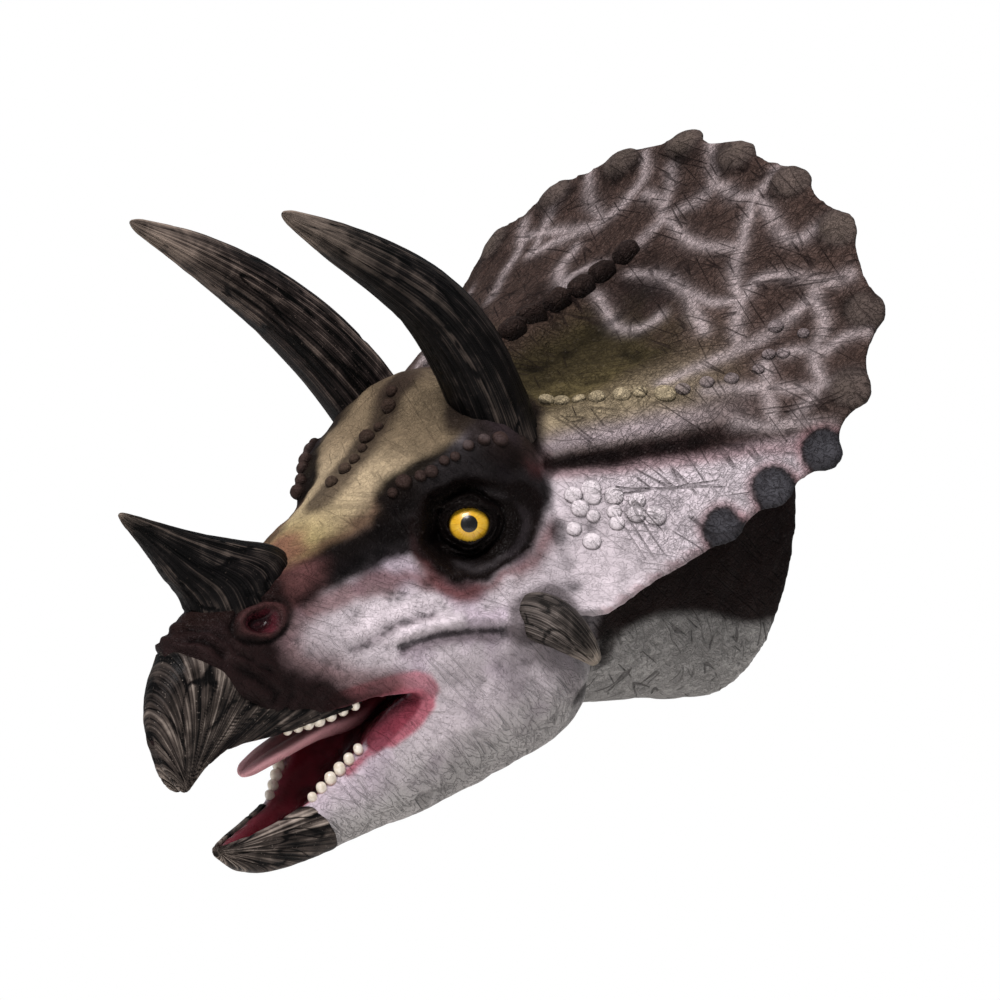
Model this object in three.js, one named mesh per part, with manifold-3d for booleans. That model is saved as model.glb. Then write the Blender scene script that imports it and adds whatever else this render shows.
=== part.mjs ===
// A painted display head of a three-horned dinosaur, cast to hang on a wall by the flat back of its neck.
// The part's frame has its origin at the middle of the wall face, +Z up, and the head looks along -Y.
// Millimetres. The head has a frame of its own, turned nose down: left, ahead and up of the skull's middle.
import * as THREE from "three";
import { mergeVertices } from "three/addons/utils/BufferGeometryUtils.js";
import Module from "manifold-3d";

const wasm = await Module();
wasm.setup();

// Driving dimensions of the whole head
const NOSE_DOWN_DEG = 20;
const SKULL_FROM_WALL = 295;
const SKULL_BELOW_WALL_CENTRE = 49;
const GAP = 0.35;
const SIDES = { left: 1, right: -1 };

// Lines of the upper head, from the beak to the back of the skull: [ahead, left, up]
const HEAD_LINES = [
  [[304, 0, -20], [300, 0, -9], [294, 0, 4], [284, 0, 16], [272, 0, 27], [265, 0, 38], [250, 0, 46], [205, 0, 54],
    [140, 0, 62], [88, 0, 83], [57, 0, 95], [17, 0, 112], [-19, 0, 138], [-50, 0, 136], [-90, 0, 116], [-140, 0, 92]],
  [[304, 3, -21], [294, 9, -2], [278, 15, 14], [235, 23, 38], [170, 30, 46], [118, 39, 56], [87, 46, 61],
    [61, 50, 73], [18, 76, 91], [-35, 84, 104], [-80, 62, 92], [-140, 46, 74]],
  [[304, 4, -24], [294, 13, -14], [278, 20, -4], [235, 33, 12], [170, 44, 16], [110, 62, 18], [40, 82, 26],
    [-35, 98, 30], [-80, 78, 36], [-140, 58, 34]],
  [[304, 4, -28], [294, 12, -34], [278, 19, -31], [235, 30, -26], [170, 48, -26], [110, 82, -32], [40, 112, -34],
    [-30, 118, -28], [-80, 84, -16], [-140, 62, -6]],
  [[304, 2, -31], [301, 5, -50], [296, 5, -63], [289, 4, -69], [280, 7, -63], [270, 10, -57], [250, 16, -51],
    [205, 27, -56], [140, 60, -56], [75, 94, -66], [5, 108, -68], [-80, 76, -54], [-140, 54, -40]],
  [[304, 1, -31], [301, 2, -48], [289, 2, -66], [280, 4, -59], [270, 6, -53], [250, 10, -46], [205, 20, -50],
    [140, 48, -50], [75, 70, -64], [5, 80, -72], [-140, 40, -45]],
  [[304, 0, -30], [301, 0, -46], [289, 0, -63], [270, 0, -48], [250, 0, -40], [205, 0, -36], [140, 0, -36],
    [75, 0, -60], [5, 0, -76], [-140, 0, -48]],
];
const HEAD_STATIONS = [304, 301, 296, 289, 282, 274, 266, 252, 236, 220, 205, 186, 168, 152, 138, 122, 106, 90, 74,
  58, 40, 20, 0, -18, -36, -56, -80, -108, -140];
const HEAD_POINTS_PER_LINE = 2;

// Lines of the lower jaw, from its beak to its back: mouth floor, inner and outer lip, side, edge and keel
const JAW_LINES = [
  [[274, 0, -121], [255, 0, -130], [225, 0, -134], [190, 0, -128], [150, 0, -112], [110, 0, -84], [60, 0, -70],
    [-66, 0, -64]],
  [[274, 1, -120], [255, 8, -121], [225, 15, -120], [195, 19, -115], [150, 34, -92], [115, 54, -66],
    [60, 84, -52], [-66, 60, -54]],
  [[274, 2, -121], [255, 14, -122], [225, 22, -121], [195, 28, -116], [150, 46, -94], [115, 66, -68],
    [60, 98, -50], [-40, 90, -50], [-66, 66, -56]],
  [[274, 2.5, -123], [255, 16, -132], [225, 25, -134], [195, 33, -132], [150, 52, -120], [110, 76, -104],
    [60, 102, -96], [0, 112, -94], [-45, 96, -96], [-66, 70, -96]],
  [[274, 2, -125], [255, 9, -143], [225, 16, -152], [175, 27, -154], [104, 48, -153], [25, 66, -149],
    [-40, 62, -145], [-66, 48, -126]],
  [[274, 0, -126], [262, 0, -140], [239, 0, -152], [175, 0, -159], [104, 0, -161], [25, 0, -160],
    [-40, 0, -156], [-66, 0, -134]],
];
const JAW_STATIONS = [274, 270, 262, 250, 236, 220, 204, 188, 172, 156, 140, 124, 108, 88, 64, 38, 10, -18, -40, -55, -66];
const JAW_POINTS_PER_LINE = 2;

// The neck: distance out from the wall, half width, lowest and highest
const NECK_SECTIONS = [[0, 107, -159, 159], [55, 107, -159, 148], [115, 103, -159, 126], [185, 96, -158, 96],
  [245, 86, -142, 64]];
const NECK_SIDES = 40;

// The frill spans from its root on the skull to its rim: [left, ahead, up], from the middle round to the cheek
const FRILL_ROOT = [[0, -60, 116], [27, -60, 112], [48, -58, 104], [62, -55, 94], [71, -50, 81], [78, -43, 64],
  [84, -35, 45], [89, -23, 21], [92, -6, -6], [94, 20, -34]];
const FRILL_RIM = [[0, -377, 217], [64, -366, 207], [131, -349, 187], [190, -325, 153], [233, -286, 94],
  [252, -227, 51], [244, -186, 13], [220, -146, -4], [197, -107, -19], [145, -19, -46]];
const FRILL_COLUMNS = 36;
const FRILL_ROWS = 7;
const SCALLOP = 4;
const FRILL_THICK = { root: 26, rim: 11 };
const SAG = { depth: 40, width: 0.42, skew: 1.4 };
const BASIN = { depth: 9, across: 0.27, out: 0.3, width: 0.13, length: 0.22 };
const SIDE_RIDGE = { height: 9, across: 0.5, width: 0.07 };
const CREST = { height: 6, width: 0.045 };
const SCUTES_A_SIDE = 8;
const RIM_STEP = 0.03;
const SCUTE = { long: 17, wide: 13, thick: 8.5, inset: 8 };
const CREST_KNOBS = { count: 7, radius: 7, first: 0.2, last: 0.7 };

// Horns: a path of [left, ahead, up] from inside the skull to the tip, and the radius along it;
// the nose horn has a front and a back edge, [ahead, up], and a half width between them
const BROW_HORN = {
  path: [[60, -44, 80], [65, -37, 113], [74, -17, 162], [81, 12, 207], [81, 44, 241], [80, 84, 276], [82, 128, 311]],
  radii: [31, 29.5, 28, 24.5, 20.5, 14, 4],
  sides: 14,
  rings: 14,
};
const NOSE_HORN = {
  front: [[238, 36], [241, 58], [252, 81], [261, 101], [271, 121], [277, 132], [278, 138]],
  back: [[136, 36], [143, 62], [179, 83], [210, 99], [243, 119], [263, 132], [275, 139]],
  half: [29, 27, 21, 15.5, 9.5, 4.5, 2],
  sides: 14,
};
const CHEEK_HORN = {
  path: [[92, 17, -34], [112, 15, -37], [129, 12, -45], [143, 6, -63], [151, 2, -79]],
  radii: [15, 18, 18, 12, 4],
  sides: 12,
  rings: 7,
};

// Beaks: the side outline that parts each horny beak from the skin, [ahead, up], and how far it reaches sideways
const UPPER_BEAK_OUTLINE = [[272, 60], [271, 32], [253, 21], [245, 4], [239, -12], [227, -24], [206, -34],
  [206, -90], [340, -90], [340, 60]];
const LOWER_BEAK_OUTLINE = [[198, -100], [196, -122], [184, -136], [176, -152], [176, -180], [300, -180],
  [300, -100]];
const BEAK_REACH = 90;

// Eyes, lids and nostrils
const EYE = { left: 66, ahead: 13, up: 34, radius: 21 };
const EYE_SOCKET = { radius: 28, out: 22 };
const EYE_BED = { radius: 25, out: -6 };
const LIDS = { ring: 19, thick: 5, out: 12 };
const NOSTRIL = { left: 42, ahead: 206, up: 30, long: 17, wide: 11 };

// Knobs along the middle of the forehead and round the top of each eye: [left, ahead, up] of the row's points
const FOREHEAD_ROW = [[0, 62, 93], [0, 38, 102], [0, 17, 112], [0, -19, 137]];
const FOREHEAD_KNOBS = { count: 7, radius: 6 };
const BROW_ROW = [[50, 62, 73], [54, 55, 77], [64, 43, 81], [78, 18, 92], [86, -8, 86]];
const BROW_KNOBS = { count: 8, radius: 6 };

// Teeth in rows, and the tongue
const UPPER_TEETH = { row: [[25, 203, -55], [36, 178, -55], [50, 153, -53]], count: 7, radius: 4.6, tall: 1.1 };
const LOWER_TEETH = { row: [[22, 190, -114], [31, 172, -104], [41, 153, -92]], count: 6, radius: 5.2, tall: 1.3 };
const TONGUE = {
  path: [[0, 92, -74], [0, 120, -80], [0, 160, -76], [0, 200, -77], [0, 233, -80]],
  half: [19, 20, 19, 16, 9],
  thick: [8, 8, 7, 6, 4],
  sides: 14,
  rings: 12,
};

// A point of the head's frame
const at = (left, ahead, up) => new THREE.Vector3(left, -ahead, up);

// A smooth curve through [left, ahead, up] points
const pathOf = (points) => new THREE.CatmullRomCurve3(points.map((p) => at(...p)), false, "centripetal");

// A smooth function through [place, value] keys, with the slope at each key that of its neighbours' chord
function smooth(keys) {
  const sorted = [...keys].sort((a, b) => a[0] - b[0]);
  const slope = (i) => {
    const a = sorted[Math.max(i - 1, 0)];
    const b = sorted[Math.min(i + 1, sorted.length - 1)];
    return (b[1] - a[1]) / (b[0] - a[0]);
  };
  return (place) => {
    const x = THREE.MathUtils.clamp(place, sorted[0][0], sorted.at(-1)[0]);
    const i = Math.min(sorted.findLastIndex((k) => k[0] <= x), sorted.length - 2);
    const [[x0, y0], [x1, y1]] = [sorted[i], sorted[i + 1]];
    const span = x1 - x0;
    const t = (x - x0) / span;
    const bend = span * (t - 1) * t * ((t - 1) * slope(i) + t * slope(i + 1));
    return y0 + (y1 - y0) * t * t * (3 - 2 * t) + bend;
  };
}

// A closed mesh from vertices and triangles, with its faces turned outwards
function closedMesh(points, triangles) {
  const volume = triangles.reduce((sum, [a, b, c]) => {
    return sum + points[a].dot(new THREE.Vector3().crossVectors(points[b], points[c]));
  }, 0);
  const order = volume < 0 ? triangles.map(([a, b, c]) => [a, c, b]) : triangles;
  const geometry = new THREE.BufferGeometry().setFromPoints(points);
  geometry.setIndex(order.flat());
  return geometry;
}

// A closed skin over rings of equal count, with a fan over each end
function loft(rings) {
  const n = rings[0].length;
  const points = rings.flat();
  const triangles = [];
  for (let r = 0; r + 1 < rings.length; r++) {
    for (let i = 0; i < n; i++) {
      const j = (i + 1) % n;
      const [a, b, c, d] = [r * n + i, r * n + j, (r + 1) * n + j, (r + 1) * n + i];
      triangles.push([a, b, c], [a, c, d]);
    }
  }
  for (const [ring, flip] of [[0, true], [rings.length - 1, false]]) {
    const middle = rings[ring].reduce((sum, p) => sum.add(p), new THREE.Vector3()).divideScalar(n);
    const hub = points.push(middle) - 1;
    for (let i = 0; i < n; i++) {
      const edge = [ring * n + i, ring * n + ((i + 1) % n)];
      triangles.push(flip ? [hub, edge[1], edge[0]] : [hub, edge[0], edge[1]]);
    }
  }
  return closedMesh(points, triangles);
}

// A loft whose section at each station runs smoothly through its lines and their mirror images
function loftThroughLines(lines, stations, pointsPerLine) {
  const tracks = lines.map((line) => ({
    left: smooth(line.map(([ahead, left]) => [ahead, left])),
    up: smooth(line.map(([ahead, , up]) => [ahead, up])),
  }));
  const rings = stations.map((ahead) => {
    const half = tracks.map((track) => at(Math.max(track.left(ahead), 0), ahead, track.up(ahead)));
    const other = half.slice(1, -1).reverse().map((p) => new THREE.Vector3(-p.x, p.y, p.z));
    const section = new THREE.CatmullRomCurve3([...half, ...other], true, "centripetal");
    const count = (half.length + other.length) * pointsPerLine;
    return Array.from({ length: count }, (_, i) => section.getPoint(i / count));
  });
  return loft(rings);
}

// A tapering round horn along a path
function hornAlong({ path, radii, sides, rings }, side) {
  const curve = pathOf(path.map(([left, ahead, up]) => [left * side, ahead, up]));
  const radius = smooth(radii.map((r, i) => [i / (radii.length - 1), r]));
  return loft(Array.from({ length: rings + 1 }, (_, r) => {
    const t = r / rings;
    const along = curve.getTangent(t);
    const fore = new THREE.Vector3().crossVectors(new THREE.Vector3(1, 0, 0), along).normalize();
    const across = new THREE.Vector3().crossVectors(along, fore);
    return ovalRing(curve.getPoint(t), fore.multiplyScalar(radius(t)), across.multiplyScalar(radius(t)), sides);
  }));
}

// A horn on the middle line between a front and a back edge
function hornBetween({ front, back, half, sides }) {
  return loft(front.map(([ahead, up], i) => {
    const fore = at(0, ahead, up);
    const aft = at(0, ...back[i]);
    const middle = fore.clone().lerp(aft, 0.5);
    return ovalRing(middle, fore.sub(middle), new THREE.Vector3(half[i], 0, 0), sides);
  }));
}

// Points round an oval given by its middle and its two half axes
function ovalRing(middle, first, second, count) {
  return Array.from({ length: count }, (_, i) => {
    const angle = (i / count) * 2 * Math.PI;
    return middle.clone().addScaledVector(first, Math.cos(angle)).addScaledVector(second, Math.sin(angle));
  });
}

// A ball stretched along three directions of the head's frame
function ball(centre, [x, y, z], around = 8, down = 6) {
  const geometry = new THREE.SphereGeometry(1, around, down);
  return geometry.scale(x, y, z).translate(centre.x, centre.y, centre.z);
}

// Balls set along a row, larger in the middle of the row than at its ends
function knobsAlong(row, { count, radius }, side = 1) {
  const curve = pathOf(row.map(([left, ahead, up]) => [left * side, ahead, up]));
  return Array.from({ length: count }, (_, i) => {
    const t = i / (count - 1);
    const size = radius * (0.75 + 0.25 * Math.sin(Math.PI * t));
    return ball(curve.getPointAt(t), [size, size, size], 6, 4);
  });
}

// Teeth set side by side along a row, taller than they are wide
function teethAlong({ row, count, radius, tall }, side) {
  const curve = pathOf(row.map(([left, ahead, up]) => [left * side, ahead, up]));
  return Array.from({ length: count }, (_, i) => {
    const size = radius * (1 - 0.25 * Math.abs((2 * i) / (count - 1) - 1));
    return ball(curve.getPointAt(i / (count - 1)), [size, size, size * tall], 6, 4);
  });
}

// Boolean work: a geometry as a solid, the largest closed body of a solid, and a solid as a geometry
function solid(geometry) {
  const plain = geometry.clone();
  plain.deleteAttribute("normal");
  plain.deleteAttribute("uv");
  const merged = mergeVertices(plain, 1e-3);
  return new wasm.Manifold(new wasm.Mesh({
    numProp: 3,
    vertProperties: merged.getAttribute("position").array,
    triVerts: new Uint32Array(merged.index.array),
  }));
}

function largest(made) {
  return made.decompose().reduce((best, body) => (body.volume() > best.volume() ? body : best));
}

function geometryOf(made) {
  const { vertProperties, triVerts } = made.getMesh();
  const geometry = new THREE.BufferGeometry();
  geometry.setAttribute("position", new THREE.BufferAttribute(new Float32Array(vertProperties), 3));
  geometry.setIndex(new THREE.BufferAttribute(triVerts, 1));
  return geometry;
}

const joined = (first, others) => others.reduce((whole, piece) => whole.add(solid(piece)), first);
const without = (first, others) => others.reduce((whole, piece) => whole.subtract(solid(piece)), first);

// The same closed mesh, moved out along its normals by the clearance between pieces
function grown(geometry, distance = GAP) {
  const plain = geometry.clone();
  plain.deleteAttribute("normal");
  plain.deleteAttribute("uv");
  const merged = mergeVertices(plain, 1e-3);
  merged.computeVertexNormals();
  const place = merged.getAttribute("position");
  const normal = merged.getAttribute("normal");
  for (let i = 0; i < place.count; i++) {
    place.setXYZ(i, place.getX(i) + distance * normal.getX(i), place.getY(i) + distance * normal.getY(i),
      place.getZ(i) + distance * normal.getZ(i));
  }
  return merged;
}

// A side outline carried across the whole width of the head, inset or outset by the clearance
function beakCutter(outline, distance) {
  const shape = new THREE.Shape(outline.map(([ahead, up]) => new THREE.Vector2(-ahead, up)));
  const geometry = new THREE.ExtrudeGeometry(shape, { depth: 2 * BEAK_REACH, bevelEnabled: false });
  const standing = geometry.translate(0, 0, -BEAK_REACH).applyMatrix4(
    new THREE.Matrix4().makeBasis(new THREE.Vector3(0, 1, 0), new THREE.Vector3(0, 0, 1), new THREE.Vector3(1, 0, 0)));
  return grown(standing, distance);
}

// Height of the frill's face above the straight span from root to rim: sag, crest, side ridges and basins
function frillRelief(across, out) {
  const hump = (x, middle, width) => Math.exp(-(((x - middle) / width) ** 2));
  const sag = SAG.depth * hump(across, 0, SAG.width) * Math.sin(Math.PI * out ** SAG.skew);
  const crest = CREST.height * hump(across, 0, CREST.width) * hump(out, 0.4, 0.55);
  const ridge = SIDE_RIDGE.height * hump(across, SIDE_RIDGE.across, SIDE_RIDGE.width) * (1 - 0.6 * out);
  const basin = BASIN.depth * hump(across, BASIN.across, BASIN.width) * hump(out, BASIN.out, BASIN.length);
  return crest + ridge - basin - sag;
}

const frillRoot = pathOf(FRILL_ROOT);
const frillRim = pathOf(FRILL_RIM);

// A point of the frill's face: across runs from the left cheek, 1, over the middle, 0, to the right cheek, -1
function frillFace(across, out) {
  const reach = Math.abs(across);
  const side = across < 0 ? -1 : 1;
  const span = (a, o) => frillRoot.getPoint(a).lerp(frillRim.getPoint(a), o);
  const step = 0.01;
  const low = THREE.MathUtils.clamp(reach - step, 0, 1 - 2 * step);
  const sideways = span(low + 2 * step, out).sub(span(low, out));
  const outward = span(reach, 1).sub(span(reach, 0));
  const normal = new THREE.Vector3().crossVectors(sideways, outward).normalize();
  if (reach < step) normal.setX(0).normalize();
  const wave = 0.5 + 0.5 * Math.cos(2 * Math.PI * reach * (FRILL_RIM.length - 1));
  const face = span(reach, out).addScaledVector(normal, frillRelief(reach, out))
    .addScaledVector(outward.normalize(), SCALLOP * wave * out ** 4);
  const thick = THREE.MathUtils.lerp(FRILL_THICK.root, FRILL_THICK.rim, out);
  const back = face.clone().addScaledVector(normal, -thick);
  const mirror = new THREE.Vector3(side, 1, 1);
  return { face: face.multiply(mirror), back: back.multiply(mirror), normal: normal.multiply(mirror) };
}

// The frill as a closed plate, with its two faces split into triangles alike
function frillPlate() {
  const columns = 2 * FRILL_COLUMNS + 1;
  const points = [];
  for (const sheet of ["face", "back"]) {
    for (let c = 0; c < columns; c++) {
      for (let r = 0; r <= FRILL_ROWS; r++) points.push(frillFace(1 - c / FRILL_COLUMNS, r / FRILL_ROWS)[sheet]);
    }
  }
  const rows = FRILL_ROWS + 1;
  const back = columns * rows;
  const id = (c, r) => c * rows + r;
  const triangles = [];
  for (let c = 0; c + 1 < columns; c++) {
    for (let r = 0; r < FRILL_ROWS; r++) {
      const [p, q, s, t] = [id(c, r), id(c + 1, r), id(c + 1, r + 1), id(c, r + 1)];
      triangles.push([p, q, s], [p, s, t], [back + p, back + s, back + q], [back + p, back + t, back + s]);
    }
  }
  const rim = [];
  for (let c = 0; c < columns; c++) rim.push(id(c, 0));
  for (let r = 1; r < rows; r++) rim.push(id(columns - 1, r));
  for (let c = columns - 2; c >= 0; c--) rim.push(id(c, FRILL_ROWS));
  for (let r = FRILL_ROWS - 1; r > 0; r--) rim.push(id(0, r));
  rim.forEach((p, i) => {
    const q = rim[(i + 1) % rim.length];
    triangles.push([q, p, back + p], [q, back + p, back + q]);
  });
  return closedMesh(points, triangles);
}

// Horny scutes round the rim, each a flat lump turned to the rim's own direction
function rimScutes() {
  const made = [];
  for (let i = -SCUTES_A_SIDE; i <= SCUTES_A_SIDE; i++) {
    const across = i / (FRILL_RIM.length - 1);
    const { face, back, normal } = frillFace(across, 1);
    const along = frillFace(across + RIM_STEP, 1).face.sub(frillFace(across - RIM_STEP, 1).face).normalize();
    const outward = new THREE.Vector3().crossVectors(normal, along).normalize();
    const middle = face.clone().lerp(back, 0.45).addScaledVector(outward, -SCUTE.inset);
    const turned = new THREE.Matrix4().makeBasis(along, outward, new THREE.Vector3().crossVectors(along, outward));
    made.push(new THREE.SphereGeometry(1, 8, 6).scale(SCUTE.long, SCUTE.wide, SCUTE.thick)
      .applyMatrix4(turned).translate(middle.x, middle.y, middle.z));
  }
  return made;
}

// Knobs along the middle of the frill
function crestKnobs() {
  return Array.from({ length: CREST_KNOBS.count }, (_, i) => {
    const out = THREE.MathUtils.lerp(CREST_KNOBS.first, CREST_KNOBS.last, i / (CREST_KNOBS.count - 1));
    const size = CREST_KNOBS.radius * (1.1 - 0.4 * out);
    return ball(frillFace(0, out).face, [size, size * 1.3, size], 6, 4);
  });
}

// The neck, a tube of oval sections from the wall to inside the head, in the part's frame
function neckTube() {
  return loft(NECK_SECTIONS.map(([out, half, low, high]) => {
    return Array.from({ length: NECK_SIDES }, (_, i) => {
      const angle = (i / NECK_SIDES) * 2 * Math.PI;
      const up = (high + low) / 2 + ((high - low) / 2) * Math.sin(angle);
      return new THREE.Vector3(half * Math.cos(angle), -out, up);
    });
  }));
}

// The tongue: a flat tapering band along its path
function tongueBand() {
  const curve = pathOf(TONGUE.path);
  const half = smooth(TONGUE.half.map((h, i) => [i / (TONGUE.half.length - 1), h]));
  const thick = smooth(TONGUE.thick.map((h, i) => [i / (TONGUE.thick.length - 1), h]));
  return loft(Array.from({ length: TONGUE.rings + 1 }, (_, r) => {
    const t = r / TONGUE.rings;
    const middle = curve.getPoint(t);
    return Array.from({ length: TONGUE.sides }, (_, i) => {
      const angle = (i / TONGUE.sides) * 2 * Math.PI;
      const side = Math.cos(angle);
      const cupped = thick(t) * (Math.sin(angle) + 0.5 * side * side);
      return new THREE.Vector3(middle.x + half(t) * side, middle.y, middle.z + cupped);
    });
  }));
}

// Where each eyeball sits, and the ring of its lids, facing half ahead and half sideways
function eyeParts(side) {
  const centre = at(EYE.left * side, EYE.ahead, EYE.up);
  const looks = new THREE.Vector3(side, -1, 0).applyAxisAngle(
    new THREE.Vector3(1, 0, 0), THREE.MathUtils.degToRad(-NOSE_DOWN_DEG)).normalize();
  const turned = new THREE.Quaternion().setFromUnitVectors(new THREE.Vector3(0, 0, 1), looks);
  const place = (geometry, out) => geometry.applyQuaternion(turned)
    .translate(centre.x + looks.x * out, centre.y + looks.y * out, centre.z + looks.z * out);
  return {
    ball: place(new THREE.SphereGeometry(EYE.radius, 16, 10), 0),
    socket: place(new THREE.SphereGeometry(EYE_SOCKET.radius, 14, 10), EYE_SOCKET.out),
    lids: place(new THREE.TorusGeometry(LIDS.ring, LIDS.thick, 7, 16), LIDS.out),
    bed: place(new THREE.SphereGeometry(EYE_BED.radius, 14, 10), EYE_BED.out),
  };
}

// Forms of the head, whole and uncut
const headForm = loftThroughLines(HEAD_LINES, HEAD_STATIONS, HEAD_POINTS_PER_LINE);
const jawForm = loftThroughLines(JAW_LINES, JAW_STATIONS, JAW_POINTS_PER_LINE);
const frillForm = frillPlate();
const tongueForm = tongueBand();
const eyes = Object.values(SIDES).map(eyeParts);

// Upper head: sockets, lids, knobs and teeth, with the beak parted off
const sidesOf = (make) => Object.values(SIDES).flatMap(make);
const nostrils = sidesOf((side) => [ball(at(NOSTRIL.left * side, NOSTRIL.ahead, NOSTRIL.up),
  [NOSTRIL.wide, NOSTRIL.long, NOSTRIL.wide], 14, 10)]);
const headKnobs = [
  ...knobsAlong(FOREHEAD_ROW, FOREHEAD_KNOBS),
  ...sidesOf((side) => knobsAlong(BROW_ROW, BROW_KNOBS, side)),
];
const upperTeeth = sidesOf((side) => teethAlong(UPPER_TEETH, side));
let head = without(solid(headForm), [...eyes.map((eye) => eye.socket), ...nostrils]);
head = joined(head, [...eyes.flatMap((eye) => [eye.bed, eye.lids]), ...headKnobs, ...upperTeeth]);
head = without(head, eyes.map((eye) => grown(eye.ball)));
const headFace = largest(head.subtract(solid(beakCutter(UPPER_BEAK_OUTLINE, GAP))));
const upperBeak = largest(solid(headForm).intersect(solid(beakCutter(UPPER_BEAK_OUTLINE, 0))));

// Lower jaw, with its teeth, clear of the head and with its beak parted off
const lowerTeeth = sidesOf((side) => teethAlong(LOWER_TEETH, side));
const headClear = joined(solid(grown(headForm)), headKnobs.map((knob) => grown(knob)));
const jaw = joined(solid(jawForm), lowerTeeth).subtract(headClear);
const lowerJaw = largest(jaw.subtract(solid(beakCutter(LOWER_BEAK_OUTLINE, GAP))));
const lowerBeak = largest(solid(jawForm).intersect(solid(beakCutter(LOWER_BEAK_OUTLINE, 0))));

// Tongue, frill and horns, each cut clear of what it grows from
const jawClear = solid(grown(jawForm));
const tongue = largest(solid(tongueForm).subtract(headClear).subtract(jawClear));
const frill = largest(joined(solid(frillForm), [...rimScutes(), ...crestKnobs()]).subtract(headClear)
  .subtract(jawClear));
const frillClear = solid(grown(frillForm));
const cutClear = (form) => largest(solid(form).subtract(headClear).subtract(frillClear));

// The neck runs up to the head, the jaw and the back of the frill
const skull = new THREE.Group();
skull.rotation.x = THREE.MathUtils.degToRad(NOSE_DOWN_DEG);
skull.position.set(0, -SKULL_FROM_WALL, -SKULL_BELOW_WALL_CENTRE);
skull.updateMatrix();
const inPart = (geometry) => solid(geometry.clone().applyMatrix4(skull.matrix));
const neck = largest([headForm, jawForm, frillForm].reduce(
  (whole, form) => whole.subtract(inPart(grown(form))), solid(neckTube())));

// Paints, by place on the object
const paint = (color, roughness) => new THREE.MeshStandardMaterial({ color, roughness, metalness: 0 });
const PAINTS = {
  face: paint("#b9adb0", 0.6),
  frill: paint("#57504a", 0.6),
  neck: paint("#3b2f2a", 0.6),
  horn: paint("#2b2b29", 0.5),
  mouth: paint("#9a5058", 0.35),
  eye: paint("#d8a520", 0.1),
};

function node(name, made, material) {
  const mesh = new THREE.Mesh(geometryOf(made), material);
  mesh.name = name;
  return mesh;
}

skull.add(node("head", headFace, PAINTS.face));
skull.add(node("lower_jaw", lowerJaw, PAINTS.face));
skull.add(node("frill", frill, PAINTS.frill));
skull.add(node("upper_beak", upperBeak, PAINTS.horn));
skull.add(node("lower_beak", lowerBeak, PAINTS.horn));
skull.add(node("nose_horn", cutClear(hornBetween(NOSE_HORN)), PAINTS.horn));
skull.add(node("tongue", tongue, PAINTS.mouth));
Object.entries(SIDES).forEach(([name, side], i) => {
  skull.add(node(`brow_horn_${name}`, cutClear(hornAlong(BROW_HORN, side)), PAINTS.horn));
  skull.add(node(`cheek_horn_${name}`, cutClear(hornAlong(CHEEK_HORN, side)), PAINTS.horn));
  skull.add(node(`eye_${name}`, solid(eyes[i].ball), PAINTS.eye));
});

const part = new THREE.Group();
part.add(skull, node("neck", neck, PAINTS.neck));

export default part;
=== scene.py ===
"""Looks of a painted wall head: a three-horned dinosaur with an open mouth, cast and hand painted.

The head's own frame is turned nose down: x to its left, y backwards and z up, in millimetres. Tables give points as
left, ahead and up. Every piece is built there and then put into the part's frame, in metres.
"""
import logging
import math
from dataclasses import dataclass, field
from enum import Enum
from typing import Any, Iterable, Sequence

import bpy
import numpy as np
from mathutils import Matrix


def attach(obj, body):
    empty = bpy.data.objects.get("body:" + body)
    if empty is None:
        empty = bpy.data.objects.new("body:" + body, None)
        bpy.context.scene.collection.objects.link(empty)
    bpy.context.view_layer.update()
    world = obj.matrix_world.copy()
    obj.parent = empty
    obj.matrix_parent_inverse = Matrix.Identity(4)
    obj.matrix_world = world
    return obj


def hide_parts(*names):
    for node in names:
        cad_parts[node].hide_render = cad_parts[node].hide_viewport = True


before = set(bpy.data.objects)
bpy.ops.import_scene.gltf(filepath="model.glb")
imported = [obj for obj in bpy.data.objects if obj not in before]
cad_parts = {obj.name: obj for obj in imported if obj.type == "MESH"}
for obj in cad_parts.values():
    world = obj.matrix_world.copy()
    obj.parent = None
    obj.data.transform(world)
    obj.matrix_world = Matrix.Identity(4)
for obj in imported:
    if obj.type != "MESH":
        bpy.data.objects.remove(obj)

LOG = logging.getLogger("wall_head")
MM = 0.001
NOSE_DOWN = math.radians(20.0)
TURN = np.array([[1, 0, 0], [0, math.cos(NOSE_DOWN), -math.sin(NOSE_DOWN)],
                 [0, math.sin(NOSE_DOWN), math.cos(NOSE_DOWN)]])
SKULL_PLACE = np.array([0.0, -295.0, -49.0])
NOSTRIL = (34, 203, 29)
NOSTRIL_SIZE = (14, 15, 8.5)
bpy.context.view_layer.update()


class Side(Enum):
    """The two sides of the head."""

    LEFT = 1
    RIGHT = -1


class Slot(Enum):
    """Names of material slots, passed along with the pieces."""

    HIDE = "painted_hide"
    HORN = "painted_horn"
    MOUTH = "painted_mouth"
    EYE = "glossy_eye"


def placed(rows: Sequence[Sequence[float]], side: Side = Side.LEFT) -> np.ndarray:
    """Turns rows of left, ahead and up into points of the head's frame.

    Args:
        rows: the points as left, ahead, up.
        side: RIGHT mirrors the points.

    Returns:
        Points as an array of x, y, z.
    """
    return np.asarray(rows, float) * [side.value, -1.0, 1.0]


def to_part(points: np.ndarray) -> np.ndarray:
    """Turns head-frame millimetres nose down about x, moves them to the skull's place and scales to metres."""
    return (points @ TURN.T + SKULL_PLACE) * MM


def to_head(points: np.ndarray) -> np.ndarray:
    """Turns part-frame millimetres back into the head's frame: the move undone, then the turn undone."""
    return (points - SKULL_PLACE) @ TURN


def unit(vectors: np.ndarray) -> np.ndarray:
    """Vectors divided by their lengths."""
    return vectors / np.maximum(np.linalg.norm(vectors, axis=-1, keepdims=True), 1e-9)


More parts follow.
